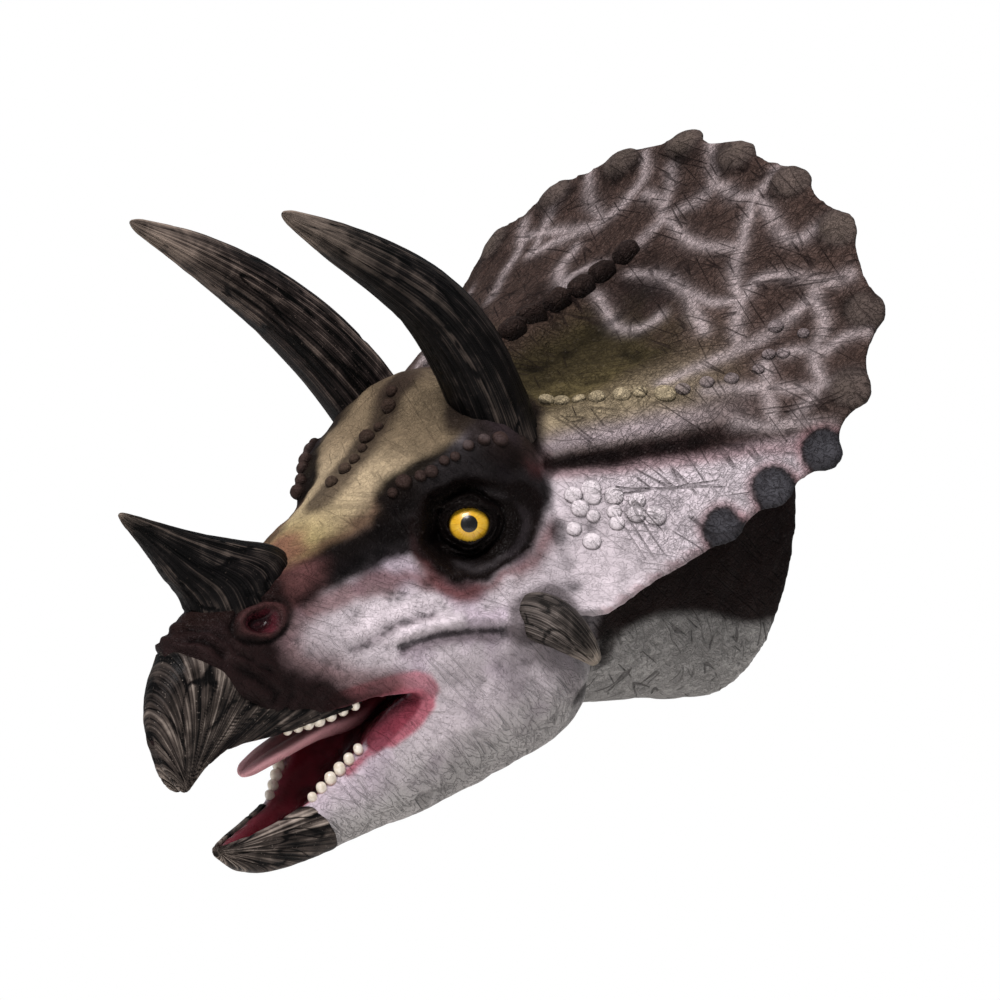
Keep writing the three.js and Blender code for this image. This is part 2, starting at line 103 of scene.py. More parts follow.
def fade(value: np.ndarray, start: float, end: float) -> np.ndarray:
    """Smooth step: 0 at start, 1 at end, with level ends. Start may be above end."""
    t = np.clip((value - start) / (end - start), 0.0, 1.0)
    return t * t * (3.0 - 2.0 * t)


def hump(value: np.ndarray, middle: float, width: float) -> np.ndarray:
    """A bell curve of height 1 about the middle."""
    return np.exp(-(((value - middle) / width) ** 2))


def linear(code: str) -> np.ndarray:
    """A colour written as six hex digits, in linear light."""
    shown = np.array([int(code[i:i + 2], 16) for i in (0, 2, 4)]) / 255.0
    return np.where(shown <= 0.04045, shown / 12.92, ((shown + 0.055) / 1.055) ** 2.4)


def keyed(keys: Sequence[Sequence[float]], places: np.ndarray) -> np.ndarray:
    """A smooth curve through keys: cubic pieces whose slope at a key is that of its neighbours' chord.

    Args:
        keys: rows of place and value.
        places: where to read the curve; beyond the end keys it stays level.

    Returns:
        The curve's values at the places.
    """
    table = np.asarray(keys, float)
    table = table[np.argsort(table[:, 0])]
    x, y = table[:, 0], table[:, 1]
    index = np.arange(len(x))
    ahead, behind = np.minimum(index + 1, len(x) - 1), np.maximum(index - 1, 0)
    slope = (y[ahead] - y[behind]) / (x[ahead] - x[behind])
    p = np.clip(places, x[0], x[-1])
    k = np.clip(np.searchsorted(x, p, side="right") - 1, 0, len(x) - 2)
    span = x[k + 1] - x[k]
    t = (p - x[k]) / span
    bend = span * (t - 1) * t * ((t - 1) * slope[k] + t * slope[k + 1])
    return y[k] + (y[k + 1] - y[k]) * t * t * (3 - 2 * t) + bend


def through(points: np.ndarray, places: np.ndarray, closed: bool = False) -> np.ndarray:
    """A centripetal Catmull-Rom curve through points, read at places from 0 to 1 in even steps from point to point.

    Args:
        points: the points, in the last two axes; earlier axes hold separate curves.
        places: where to read each curve.
        closed: whether the last point runs on to the first.

    Returns:
        Points on the curves.
    """
    points, places = np.asarray(points, float), np.asarray(places, float)
    n = points.shape[-2]
    if closed:
        ring = np.concatenate([points[..., -1:, :], points, points[..., :2, :]], -2)
        s, last = places * n, n - 1
    else:
        ring = np.concatenate([2 * points[..., :1, :] - points[..., 1:2, :], points,
                               2 * points[..., -1:, :] - points[..., -2:-1, :]], -2)
        s, last = places * (n - 1), n - 2
    i = np.clip(np.floor(s).astype(int), 0, last)
    w = (s - i)[..., None]
    a, b, c, d = (ring[..., i + k, :] for k in range(4))
    gap = [np.sqrt(np.linalg.norm(q - p, axis=-1, keepdims=True)) for p, q in ((a, b), (b, c), (c, d))]
    e1 = np.maximum(gap[1], 1e-4)
    e0, e2 = (np.where(g < 1e-4, e1, g) for g in (gap[0], gap[2]))
    m1 = ((b - a) / e0 - (c - a) / (e0 + e1) + (c - b) / e1) * e1
    m2 = ((c - b) / e1 - (d - b) / (e1 + e2) + (d - c) / e2) * e1
    return b + w * (m1 + w * (-3 * b + 3 * c - 2 * m1 - m2 + w * (2 * b - 2 * c + m1 + m2)))


def patchy(u: np.ndarray, v: np.ndarray, cells: tuple[int, int], seed: int) -> np.ndarray:
    """Smooth patches from 0 to 1: seeded numbers on a grid, eased from one to the next, that wrap round in u.

    Args:
        u: place around, where 0 and 1 meet.
        v: place along, from 0 to 1.
        cells: patches around and along.
        seed: which set of numbers.

    Returns:
        A value for each pair of places.
    """
    table = np.random.default_rng(seed).random((cells[0], cells[1] + 2))
    a, b = np.mod(u, 1.0) * cells[0], np.clip(v, 0, 1) * cells[1]
    i, j = np.floor(a).astype(int) % cells[0], np.floor(b).astype(int)
    s, t = a - np.floor(a), b - j
    s, t = s * s * (3 - 2 * s), t * t * (3 - 2 * t)
    k = (i + 1) % cells[0]
    low = table[i, j] * (1 - s) + table[k, j] * s
    high = table[i, j + 1] * (1 - s) + table[k, j + 1] * s
    return low * (1 - t) + high * t


def cloudy(points: np.ndarray, size: float, seed: int, rounds: int = 3) -> np.ndarray:
    """Cloudy noise in space: smooth lattices of random values, each of half the size and share of the one before.

    Args:
        points: where.
        size: the first lattice's cell.
        seed: which noise.
        rounds: lattices.

    Returns:
        Values from 0 to 1 about one half.
    """
    table = np.random.default_rng(seed).random(4096)
    total = np.zeros(len(points))
    for k in range(rounds):
        cell = points / size * 2 ** k + 5.37 * k
        low = np.floor(cell).astype(int)
        w = (cell - low) ** 2 * (3 - 2 * (cell - low))
        for corner in np.ndindex(2, 2, 2):
            share = np.prod(np.where(corner, w, 1 - w), axis=1)
            total += share * table[(low + corner) @ [73, 179, 283] % 4096] / 2 ** k
    return total / (2 - 0.5 ** (rounds - 1))


def away(points: np.ndarray, line: np.ndarray, reach: float) -> np.ndarray:
    """Distance of each point from a polyline: the least over its stretches, and reach where it is further.

    Args:
        points: the points.
        line: the polyline's corners, or one point.
        reach: distances beyond this aren't worked out.

    Returns:
        The distances.
    """
    line = np.atleast_2d(line)
    best = np.full(len(points), float(reach))
    near = np.flatnonzero(((points > line.min(0) - reach) & (points < line.max(0) + reach)).all(1))
    some = points[near]
    least = np.full(len(near), float(reach))
    ends = line[1:] if len(line) > 1 else line
    for a, b in zip(line, ends):
        ab = b - a
        t = np.clip(((some - a) @ ab) / max(float(ab @ ab), 1e-9), 0, 1)
        least = np.minimum(least, np.linalg.norm(some - a - t[:, None] * ab, axis=1))
    best[near] = least
    return best


@dataclass
class Shape:
    """A mesh in the making: corners of each face padded with -1, and a place in the unit square for each corner."""

    points: np.ndarray
    faces: np.ndarray
    uv: np.ndarray | None = None

    def loops(self) -> tuple[np.ndarray, np.ndarray, np.ndarray]:
        """Lists every face corner.

        Returns:
            The vertex at each corner, the vertex at the next corner of the face, and the face.
        """
        used = self.faces >= 0
        count = used.sum(1)
        column = np.arange(self.faces.shape[1])
        following = np.where(column + 1 < count[:, None], column + 1, 0)
        after = np.take_along_axis(self.faces, following, 1)
        return self.faces[used], after[used], np.repeat(np.arange(len(count)), count)

    def normals(self) -> np.ndarray:
        """Vertex normals: the cross products along each face's edge, summed by face and then by vertex."""
        here, after, face = self.loops()
        middle = self.points[self.faces[:, 0]][face]
        part = np.cross(self.points[here] - middle, self.points[after] - middle)
        whole = np.stack([np.bincount(face, part[:, k], len(self.faces)) for k in range(3)], 1)
        spread = whole[face]
        return unit(np.stack([np.bincount(here, spread[:, k], len(self.points)) for k in range(3)], 1))

    def neighbour_mean(self, values: np.ndarray) -> np.ndarray:
        """The mean over each vertex's neighbours along face edges."""
        here, after, _ = self.loops()
        total = np.bincount(here, minlength=len(values)) + np.bincount(after, minlength=len(values))
        columns = values.reshape(len(values), -1)
        sums = [np.bincount(here, c[after], len(values)) + np.bincount(after, c[here], len(values))
                for c in columns.T]
        return (np.stack(sums, 1) / np.maximum(total, 1)[:, None]).reshape(values.shape)

    def eased(self, rounds: int, share: float | np.ndarray = 0.5) -> None:
        """Smooths the surface: each round moves a vertex by a share of the way to its neighbours' mean."""
        for _ in range(rounds):
            weight = share if np.isscalar(share) else share[:, None]
            self.points = self.points + weight * (self.neighbour_mean(self.points) - self.points)


def refined(shape: Shape, chosen: np.ndarray) -> Shape:
    """Splits each quad whose four corners are chosen into four, and gives its neighbours the new edge points.

    Args:
        shape: quads and triangles.
        chosen: whether each vertex is in the finer region.

    Returns:
        The finer shape.
    """
    faces = shape.faces
    if faces.shape[1] < 8:
        faces = np.pad(faces, ((0, 0), (0, 8 - faces.shape[1])), constant_values=-1)
    count = (faces >= 0).sum(1)
    full = (count == 4) & chosen[faces[:, :4]].all(1)
    column = np.arange(8)
    after = np.take_along_axis(faces, np.where(column + 1 < count[:, None], column + 1, 0), 1)
    key = np.minimum(faces, after) * len(shape.points) + np.maximum(faces, after)
    split = np.unique(key[full][:, :4])
    spot = np.clip(np.searchsorted(split, key), 0, len(split) - 1)
    middle = np.where((faces >= 0) & (split[spot] == key), len(shape.points) + spot, -1)
    ends = np.stack([split // len(shape.points), split % len(shape.points)], 1)
    quads = faces[full][:, :4]
    hub = len(shape.points) + len(split) + np.arange(len(quads))
    points = np.concatenate([shape.points, shape.points[ends].mean(1), shape.points[quads].mean(1)])
    mids = middle[full][:, :4]
    fours = [np.stack([quads[:, k], mids[:, k], hub, mids[:, k - 1]], 1) for k in range(4)]
    fine = np.pad(np.concatenate(fours), ((0, 0), (0, 4)), constant_values=-1)
    kept, added = faces[~full], middle[~full]
    mixed = np.stack([kept, added], 2).reshape(len(kept), 16)
    order = np.argsort(mixed < 0, axis=1, kind="stable")
    return Shape(points, np.concatenate([np.take_along_axis(mixed, order, 1)[:, :8], fine]))


def tube(rings: np.ndarray) -> Shape:
    """A closed skin over rings of points, each ring joined to the next, with a fan over the first and the last.

    Args:
        rings: points as ring, place round the ring, and x, y, z.

    Returns:
        The shape, with u round the ring and v from the first ring to the last.
    """
    n, m = rings.shape[:2]
    r, c = (grid.ravel() for grid in np.meshgrid(np.arange(n - 1), np.arange(m), indexing="ij"))
    corner = [(r, c), (r, c + 1), (r + 1, c + 1), (r + 1, c)]
    quads = np.stack([a * m + b % m for a, b in corner], 1)
    square = np.stack([np.stack([b / m, a / (n - 1)], 1) for a, b in corner], 1)
    k = np.arange(m)
    none = np.full(m, -1)
    ends, places = [], []
    for ring, hub, flip in ((0, n * m, True), (n - 1, n * m + 1, False)):
        a, b = ring * m + k, ring * m + (k + 1) % m
        pair = (b, a) if flip else (a, b)
        ends.append(np.stack([np.full(m, hub), *pair, none], 1))
        v = np.full(m, ring / (n - 1))
        around = ((k + 1) / m, k / m) if flip else (k / m, (k + 1) / m)
        places.append(np.stack([np.stack([u, v], 1) for u in ((k + 0.5) / m, *around, k * 0.0)], 1))
    points = np.concatenate([rings.reshape(-1, 3), rings[0].mean(0)[None], rings[-1].mean(0)[None]])
    shape = Shape(points, np.concatenate([quads, *ends]), np.concatenate([square, *places]))
    return outward(shape)


def outward(shape: Shape) -> Shape:
    """Turns every face of a closed shape round when its signed volume says that they point inwards."""
    here, after, face = shape.loops()
    first = shape.points[shape.faces[:, 0]][face]
    volume = np.einsum("ij,ij->i", first, np.cross(shape.points[here], shape.points[after])).sum()
    if volume < 0:
        count = (shape.faces >= 0).sum(1)[:, None]
        column = np.arange(shape.faces.shape[1])[None]
        order = np.where(column < count, count - 1 - column, column)
        shape.faces = np.take_along_axis(shape.faces, order, 1)
        if shape.uv is not None:
            shape.uv = np.take_along_axis(shape.uv, order[..., None], 1)
    return shape


def joined(shapes: Iterable[Shape]) -> Shape:
    """Puts shapes side by side in one, with their faces renumbered."""
    points, faces, uv, total = [], [], [], 0
    for shape in shapes:
        points.append(shape.points)
        faces.append(np.where(shape.faces >= 0, shape.faces + total, -1))
        uv.append(shape.uv)
        total += len(shape.points)
    return Shape(np.concatenate(points), np.concatenate(faces), None if uv[0] is None else np.concatenate(uv))


def mesh_of(name: str, shape: Shape, marks: dict[str, np.ndarray] | None = None) -> bpy.types.Object:
    """Makes a smooth-shaded object of a head-frame shape, in the part's frame.

    Args:
        name: the object's name.
        shape: the shape, in head-frame millimetres.
        marks: values for each vertex, by attribute name: one number, or red, green and blue.

    Returns:
        The object, linked to the scene.
    """
    here, _, face = shape.loops()
    count = (shape.faces >= 0).sum(1)
    mesh = bpy.data.meshes.new(name)
    mesh.vertices.add(len(shape.points))
    mesh.vertices.foreach_set("co", to_part(shape.points).astype(np.float32).ravel())
    mesh.loops.add(len(here))
    mesh.loops.foreach_set("vertex_index", here.astype(np.int32))
    mesh.polygons.add(len(count))
    mesh.polygons.foreach_set("loop_start", (np.cumsum(count) - count).astype(np.int32))
    mesh.polygons.foreach_set("use_smooth", np.ones(len(count), bool))
    if shape.uv is not None:
        layer = mesh.uv_layers.new(name="along")
        layer.data.foreach_set("uv", shape.uv[shape.faces >= 0].astype(np.float32).ravel())
    for mark, values in (marks or {}).items():
        if values.ndim == 1:
            mesh.attributes.new(mark, "FLOAT", "POINT").data.foreach_set("value", values.astype(np.float32))
        else:
            full = np.concatenate([values, np.ones((len(values), 1))], 1).astype(np.float32)
            mesh.attributes.new(mark, "FLOAT_COLOR", "POINT").data.foreach_set("color", full.ravel())
    mesh.update(calc_edges=True)
    mesh.validate()
    made = bpy.data.objects.new(name, mesh)
    bpy.context.scene.collection.objects.link(made)
    return made


def settle(piece: bpy.types.Object, material: bpy.types.Material, slot: Slot, *nodes: str) -> bpy.types.Object:
    """Gives a piece its finish, makes it ride with the head and lets it stand for its solids.

    Args:
        piece: the piece.
        material: its finish.
        slot: a material slot's name; not used.
        nodes: the solids that it replaces.

    Returns:
        The piece.
    """
    piece.data.materials.clear()
    piece.data.materials.append(material)
    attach(piece, "root")
    if nodes:
        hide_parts(*nodes)
    LOG.info("%s: %d faces", piece.name, len(piece.data.polygons))
    return piece


@dataclass(frozen=True)
class Wire:
    """One output of a node, on which Python's operators add Math nodes."""

    board: "Board"
    socket: bpy.types.NodeSocket

    def __add__(self, other: Any) -> "Wire":
        """This value plus the other."""
        return self.board.maths("ADD", self, other)

    def __radd__(self, other: Any) -> "Wire":
        """The other plus this value."""
        return self.board.maths("ADD", other, self)

    def __sub__(self, other: Any) -> "Wire":
        """This value less the other."""
        return self.board.maths("SUBTRACT", self, other)

    def __rsub__(self, other: Any) -> "Wire":
        """The other less this value."""
        return self.board.maths("SUBTRACT", other, self)

    def __mul__(self, other: Any) -> "Wire":
        """This value times the other."""
        return self.board.maths("MULTIPLY", self, other)

    def __rmul__(self, other: Any) -> "Wire":
        """The other times this value."""
        return self.board.maths("MULTIPLY", other, self)

    def __abs__(self) -> "Wire":
        """The value without its sign."""
        return self.board.maths("ABSOLUTE", self, 0.0)


class Board:
    """The node tree of one finish."""

    def __init__(self, name: str) -> None:
        """Starts a material with an empty tree."""
        self.material = bpy.data.materials.new(name)
        self.material.use_nodes = True
        self.tree = self.material.node_tree
        self.tree.nodes.clear()

    def node(self, kind: str, settings: dict[str, Any], sockets: dict[str, Any]) -> bpy.types.Node:
        """Adds a node of any type.

        Args:
            kind: the node's type.
            settings: its own settings; stops are a ramp's places and colours.
            sockets: a value or a wire for each socket, by identifier or name.

        Returns:
            The node.
        """
        made = self.tree.nodes.new(kind)
        for key, value in settings.items():
            if key == "stops":
                for _ in range(len(value) - 2):
                    made.color_ramp.elements.new(0.5)
                for element, (place, colour) in zip(made.color_ramp.elements, value):
                    element.position, element.color = place, (*colour, 1.0)
            else:
                setattr(made, key, value)
        for key, value in sockets.items():
            plug = next((s for s in made.inputs if s.identifier == key), None) or made.inputs[key]
            if isinstance(value, Wire):
                self.tree.links.new(value.socket, plug)
            else:
                plug.default_value = value
        return made

    def wire(self, kind: str, settings: dict[str, Any], sockets: dict[str, Any], output: str | int = 0) -> Wire:
        """Adds a node and takes one of its outputs."""
        made = self.node(kind, settings, sockets)
        named = [s for s in made.outputs if s.identifier == output]
        return Wire(self, named[0] if named else made.outputs[output])

    def maths(self, operation: str, first: Any, second: Any) -> Wire:
        """Adds a Math node."""
        return self.wire("ShaderNodeMath", {"operation": operation}, {"Value": first, "Value_001": second})

    def place(self, scale: Sequence[float] = (1, 1, 1), turn: Sequence[float] = (0, 0, 0)) -> Wire:
        """The piece's own coordinates, turned and then scaled."""
        source = self.wire("ShaderNodeTexCoord", {}, {}, "Object")
        return self.wire("ShaderNodeMapping", {"vector_type": "TEXTURE"},
                         {"Vector": source, "Rotation": turn, "Scale": [1 / s for s in scale]})

    def along(self, scale: Sequence[float]) -> Wire:
        """The piece's own map round and along it, scaled."""
        source = self.wire("ShaderNodeUVMap", {"uv_map": "along"}, {})
        return self.wire("ShaderNodeMapping", {}, {"Vector": source, "Scale": scale})

    def mark(self, name: str, output: str = "Fac") -> Wire:
        """A value that the mesh carries at its vertices."""
        return self.wire("ShaderNodeAttribute", {"attribute_name": name}, {}, output)

    def noise(self, vector: Wire, scale: float, detail: float = 4.0, bend: float = 0.0) -> Wire:
        """Cloudy noise about one half."""
        return self.wire("ShaderNodeTexNoise", {}, {"Vector": vector, "Scale": scale, "Detail": detail,
                                                    "Distortion": bend})

    def cells(self, vector: Wire, scale: float, feature: str = "F1") -> Wire:
        """Distance within cells of an uneven mosaic."""
        return self.wire("ShaderNodeTexVoronoi", {"feature": feature}, {"Vector": vector, "Scale": scale}, "Distance")

    def step(self, value: Wire, start: float, end: float, low: float = 0.0, high: float = 1.0) -> Wire:
        """Eases from low to high as the value goes from start to end."""
        return self.wire("ShaderNodeMapRange", {"interpolation_type": "SMOOTHSTEP"},
                         {"Value": value, "From Min": start, "From Max": end, "To Min": low, "To Max": high})

    def blend(self, factor: Any, first: Any, second: Any, way: str = "MIX") -> Wire:
        """Mixes two colours."""
        return self.wire("ShaderNodeMix", {"data_type": "RGBA", "blend_type": way},
                         {"Factor_Float": factor, "A_Color": first, "B_Color": second}, "Result_Color")

    def ramp(self, value: Wire, stops: Sequence[tuple[float, np.ndarray]]) -> Wire:
        """Colours by value."""
        return self.wire("ShaderNodeValToRGB", {"stops": [(p, tuple(c)) for p, c in stops]}, {"Fac": value}, "Color")

    def scratches(self, turn: Sequence[float], thin: float, stretch: float, line: float) -> Wire:
        """Short straight lines: the level lines of noise that is thin one way only, broken up by a second noise."""
        drawn = self.noise(self.place((thin, thin / stretch, thin / stretch), turn), 1.0, 0.0)
        near = self.step(abs(drawn - 0.5), line, line * 0.35)
        return near * self.step(self.noise(self.place((1, 1, 1), turn), 30.0, 1.0), 0.53, 0.58)

    def bump(self, height: Wire, distance: float, strength: float = 1.0, under: Wire | None = None) -> Wire:
        """Surface relief from a height."""
        sockets = {"Height": height, "Distance": distance, "Strength": strength}
        return self.wire("ShaderNodeBump", {}, sockets if under is None else {**sockets, "Normal": under})

    def close(self, colour: Wire, roughness: Any, normal: Wire | None, **constants: Any) -> bpy.types.Material:
        """Ends the tree in one shader.

        Args:
            colour: base colour.
            roughness: a wire or a number.
            normal: surface relief.
            constants: other sockets of the shader, by name with _ for a space.

        Returns:
            The material.
        """
        sockets = {"Base Color": colour, "Roughness": roughness}
        if normal is not None:
            sockets["Normal"] = normal
        sockets.update({key.replace("_", " "): value for key, value in constants.items()})
        shader = self.wire("ShaderNodeBsdfPrincipled", {}, sockets)
        self.node("ShaderNodeOutputMaterial", {}, {"Surface": shader})
        return self.material


def ink(code: str) -> tuple[float, float, float, float]:
    """A hex colour for a socket."""
    return (*linear(code), 1.0)


@dataclass(frozen=True)
class PaintedSkin:
    """Airbrushed matt paint over cast skin: fine creases darkened with painted shade, scratches and mottling over the
    painted colours.
    """

    name: str = "airbrushed_skin"
    scratch_and_crease_shade: str = "1d1615"
    dust: str = "b3a9a2"
    mottle: float = 0.2
    scratch: float = 0.75

    def make(self) -> bpy.types.Material:
        """Builds the material from the painted colour, gloss, grain and hide that the mesh carries: hide is how deep
        the leathery cells are, grain how strongly scratches and wrinkles show."""
        b = Board(self.name)
        paint, gloss, grain, hide = b.mark("paint", "Color"), b.mark("gloss"), b.mark("grain"), b.mark("hide")
        place = b.place()
        sway = b.wire("ShaderNodeTexNoise", {}, {"Vector": place, "Scale": 110.0, "Detail": 2.0}, "Color")
        sway = b.wire("ShaderNodeVectorMath", {"operation": "SCALE"}, {"Vector": sway, "Scale": 0.009})
        swayed = b.wire("ShaderNodeVectorMath", {"operation": "ADD"}, {"Vector": place, "Vector_001": sway})
        cloud = b.noise(place, 55.0, 6.0, 0.4)
        fine = b.noise(place, 460.0, 4.0, 0.6)
        leather = b.step(b.cells(swayed, 230.0, "DISTANCE_TO_EDGE"), 0.0, 0.16)
        crack = b.step(b.cells(swayed, 52.0, "DISTANCE_TO_EDGE"), 0.016, 0.0)
        swirl = b.step(abs(b.noise(b.place((150, 150, 45), (-0.7, 0.4, 0.0)), 1.0, 3.0, 0.7) - 0.5), 0.05, 0.0)
        drawn = b.noise(b.place((210, 50, 210), (-0.5, 0, 0)), 1.0, 3.0, 0.9)
        wrinkle = b.step(abs(drawn - 0.5), 0.045, 0.0)
        lines = b.scratches((0, -0.85, 2.12), 150.0, 14.0, 0.03) * 0.7
        for turn in ((0, -0.66, 0.62), (0, -0.88, 1.15), (0, -0.71, 2.43)):
            lines = b.maths("MAXIMUM", lines, b.scratches(turn, 80.0, 14.0, 0.022))
        colour = b.blend(1.0, paint, b.ramp(cloud, [(0.3, np.full(3, 1 - self.mottle)), (0.72, np.full(3, 1.0))]),
                         "MULTIPLY")
        # Dark lines where the relief is cut: the scratches are marks in the paint; the darkening in wrinkles, cracks
        # and cell edges is painted shade.
        dark = b.maths("MAXIMUM", wrinkle * 0.22 * grain, ((1.0 - leather) * 0.1 + swirl * 0.18 * hide) * hide)
        carved = crack * 0.3 * hide * hide + lines * self.scratch * (hide * 0.6 + 0.25)
        dark = b.maths("MAXIMUM", dark, carved * grain)
        colour = b.blend(b.step(fine, 0.6, 0.72) * 0.06 * hide, colour, ink(self.dust))
        colour = b.blend(b.step(fine, 0.42, 0.32) * 0.2 + dark, colour, ink(self.scratch_and_crease_shade))
        cuts = lines + wrinkle * 0.5 + (crack + swirl) * hide * hide * 0.45
        height = fine * 0.4 + cloud * 0.5 + leather * hide * 0.25 - cuts * grain
        rough = b.step(gloss + (fine - 0.5) * 0.25, 0.0, 1.0, 0.6, 0.16)
        return b.close(colour, rough, b.bump(height, 0.0024, 0.85), Specular_IOR_Level=0.06,
                       Coat_Weight=b.step(gloss, 0.6, 0.95, 0.0, 0.8), Coat_Roughness=0.16)


@dataclass(frozen=True)
class Streaked:
    """Dark horn with grooves along it: painted shade down the grooves and painted highlight on the ridges, drybrushed
    pale on the high streaks and towards the tip.
    """

    name: str
    deep: str = "040404"
    body: str = "161414"
    high: str = "665b53"
    tip: str = "a8988a"
    fine_round: float = 130.0
    fine_along: float = 0.8
    gloss: float = 0.42

    def make(self) -> bpy.types.Material:
        """Builds the material from the groove height and the nearness of the tip that the mesh carries."""
        b = Board(self.name)
        groove, near = b.mark("groove"), b.mark("tip")
        fine = b.noise(b.along((self.fine_round, self.fine_along, 1.0)), 1.0, 2.0)
        broad = b.noise(b.along((self.fine_round * 0.4, self.fine_along * 1.5, 1.0)), 1.0, 2.0)
        cloud = b.noise(b.place(), 60.0, 5.0, 0.5)
        speck = b.noise(b.place(), 600.0, 3.0)
        # The groove height darkens the grooves and lightens the ridges: painted shade and painted highlight. The noise
        # adds painted streaks.
        streak_and_relief_light = groove * 0.35 + fine * 0.55 + broad * 0.25 + (near - 0.3) * 0.2 + (cloud - 0.5) * 0.25
        colour = b.ramp(streak_and_relief_light, [(0.4, linear(self.deep)), (0.55, linear(self.body)), (0.78, linear(self.high))])
        dull = b.ramp(cloud, [(0.3, np.full(3, 0.55)), (0.7, np.full(3, 1.0))])
        colour = b.blend(1.0, colour, dull, "MULTIPLY")
        worn = near * near * b.step(streak_and_relief_light + cloud * 0.3, 0.5, 0.95)
        colour = b.blend(worn, colour, ink(self.tip))
        colour = b.blend(b.step(speck, 0.66, 0.74) * 0.3, colour, ink(self.high))
        rough = b.step(cloud, 0.2, 0.8, self.gloss - 0.1, self.gloss + 0.18)
        return b.close(colour, rough, b.bump(fine + broad + speck * 0.2, 0.0018, 0.95), Specular_IOR_Level=0.08)


def lumps(middles: np.ndarray, axes: np.ndarray, sizes: np.ndarray, around: int = 20, down: int = 12,
          square: float = 1.0) -> Shape:
    """Rounded lumps: balls with rings about their third axis, stretched along three axes.

    Args:
        middles: the middle of each.
        axes: three unit directions of each, as rows.
        sizes: half sizes along the directions.
        around: points round a ring.
        down: rings.
        square: power on the sines and cosines; under 1 it fills the lumps out.

    Returns:
        All the lumps as one shape, with u round and v from top to bottom.
    """
    def curve(x: np.ndarray) -> np.ndarray:
        """Keeps the sign and raises the size to the power."""
        return np.sign(x) * np.abs(x) ** square

    fall = np.linspace(0.03, 0.97, down)[:, None] * np.pi
    turn = np.arange(around)[None] / around * 2 * np.pi
    ball = np.stack([curve(np.sin(fall)) * curve(np.cos(turn)), curve(np.sin(fall)) * curve(np.sin(turn)),
                     curve(np.cos(fall)) * np.ones_like(turn)], -1)
    return joined(tube((ball * size) @ axis + middle) for middle, axis, size in zip(middles, axes, sizes))


HEAD_LINES = (
    ((304, 0, -20), (300, 0, -9), (294, 0, 4), (284, 0, 16), (272, 0, 27), (265, 0, 38), (250, 0, 46), (205, 0, 54),
     (140, 0, 62), (88, 0, 83), (57, 0, 95), (17, 0, 112), (-19, 0, 138), (-50, 0, 136), (-90, 0, 116), (-140, 0, 92)),
    ((304, 3, -21), (294, 9, -2), (278, 15, 14), (235, 23, 38), (170, 30, 46), (118, 39, 56), (87, 46, 61),
     (61, 50, 73), (18, 76, 91), (-35, 84, 104), (-80, 62, 92), (-140, 46, 74)),
    ((304, 4, -24), (294, 13, -14), (278, 20, -4), (235, 33, 12), (170, 44, 16), (110, 62, 18), (40, 82, 26),
     (-35, 98, 30), (-80, 78, 36), (-140, 58, 34)),
    ((304, 4, -28), (294, 12, -34), (278, 19, -31), (235, 30, -26), (170, 48, -26), (110, 82, -32), (40, 112, -34),
     (-30, 118, -28), (-80, 84, -16), (-140, 62, -6)),
    ((304, 2, -31), (301, 5, -50), (296, 5, -63), (289, 4, -69), (280, 7, -63), (270, 10, -57), (250, 16, -51),
     (205, 27, -56), (140, 60, -56), (75, 94, -66), (5, 108, -68), (-80, 76, -54), (-140, 54, -40)),
    ((304, 1, -31), (301, 2, -48), (289, 2, -66), (280, 4, -59), (270, 6, -53), (250, 10, -46), (205, 20, -50),
     (140, 48, -50), (75, 70, -64), (5, 80, -72), (-140, 40, -45)),
    ((304, 0, -30), (301, 0, -46), (289, 0, -63), (270, 0, -48), (250, 0, -40), (205, 0, -36), (140, 0, -36),
     (75, 0, -60), (5, 0, -76), (-140, 0, -48)),
)
JAW_LINES = (
    ((274, 0, -121), (255, 0, -130), (225, 0, -134), (190, 0, -128), (150, 0, -112), (110, 0, -84), (60, 0, -70),
     (-66, 0, -64)),
    ((274, 1, -120), (255, 8, -121), (225, 15, -120), (195, 19, -115), (150, 34, -92), (115, 54, -66),
     (60, 84, -52), (-66, 60, -54)),
    ((274, 2, -121), (255, 14, -122), (225, 22, -121), (195, 28, -116), (150, 46, -94), (115, 66, -68),
     (60, 98, -50), (-40, 90, -50), (-66, 66, -56)),
    ((274, 2.5, -123), (255, 16, -132), (225, 25, -134), (195, 33, -132), (150, 52, -120), (110, 76, -104),
     (60, 102, -96), (0, 112, -94), (-45, 96, -96), (-66, 70, -96)),
    ((274, 2, -125), (255, 9, -143), (225, 16, -152), (175, 27, -154), (104, 48, -153), (25, 66, -149),
     (-40, 62, -145), (-66, 48, -126)),
    ((274, 0, -126), (262, 0, -140), (239, 0, -152), (175, 0, -159), (104, 0, -161), (25, 0, -160),
     (-40, 0, -156), (-66, 0, -134)),
)


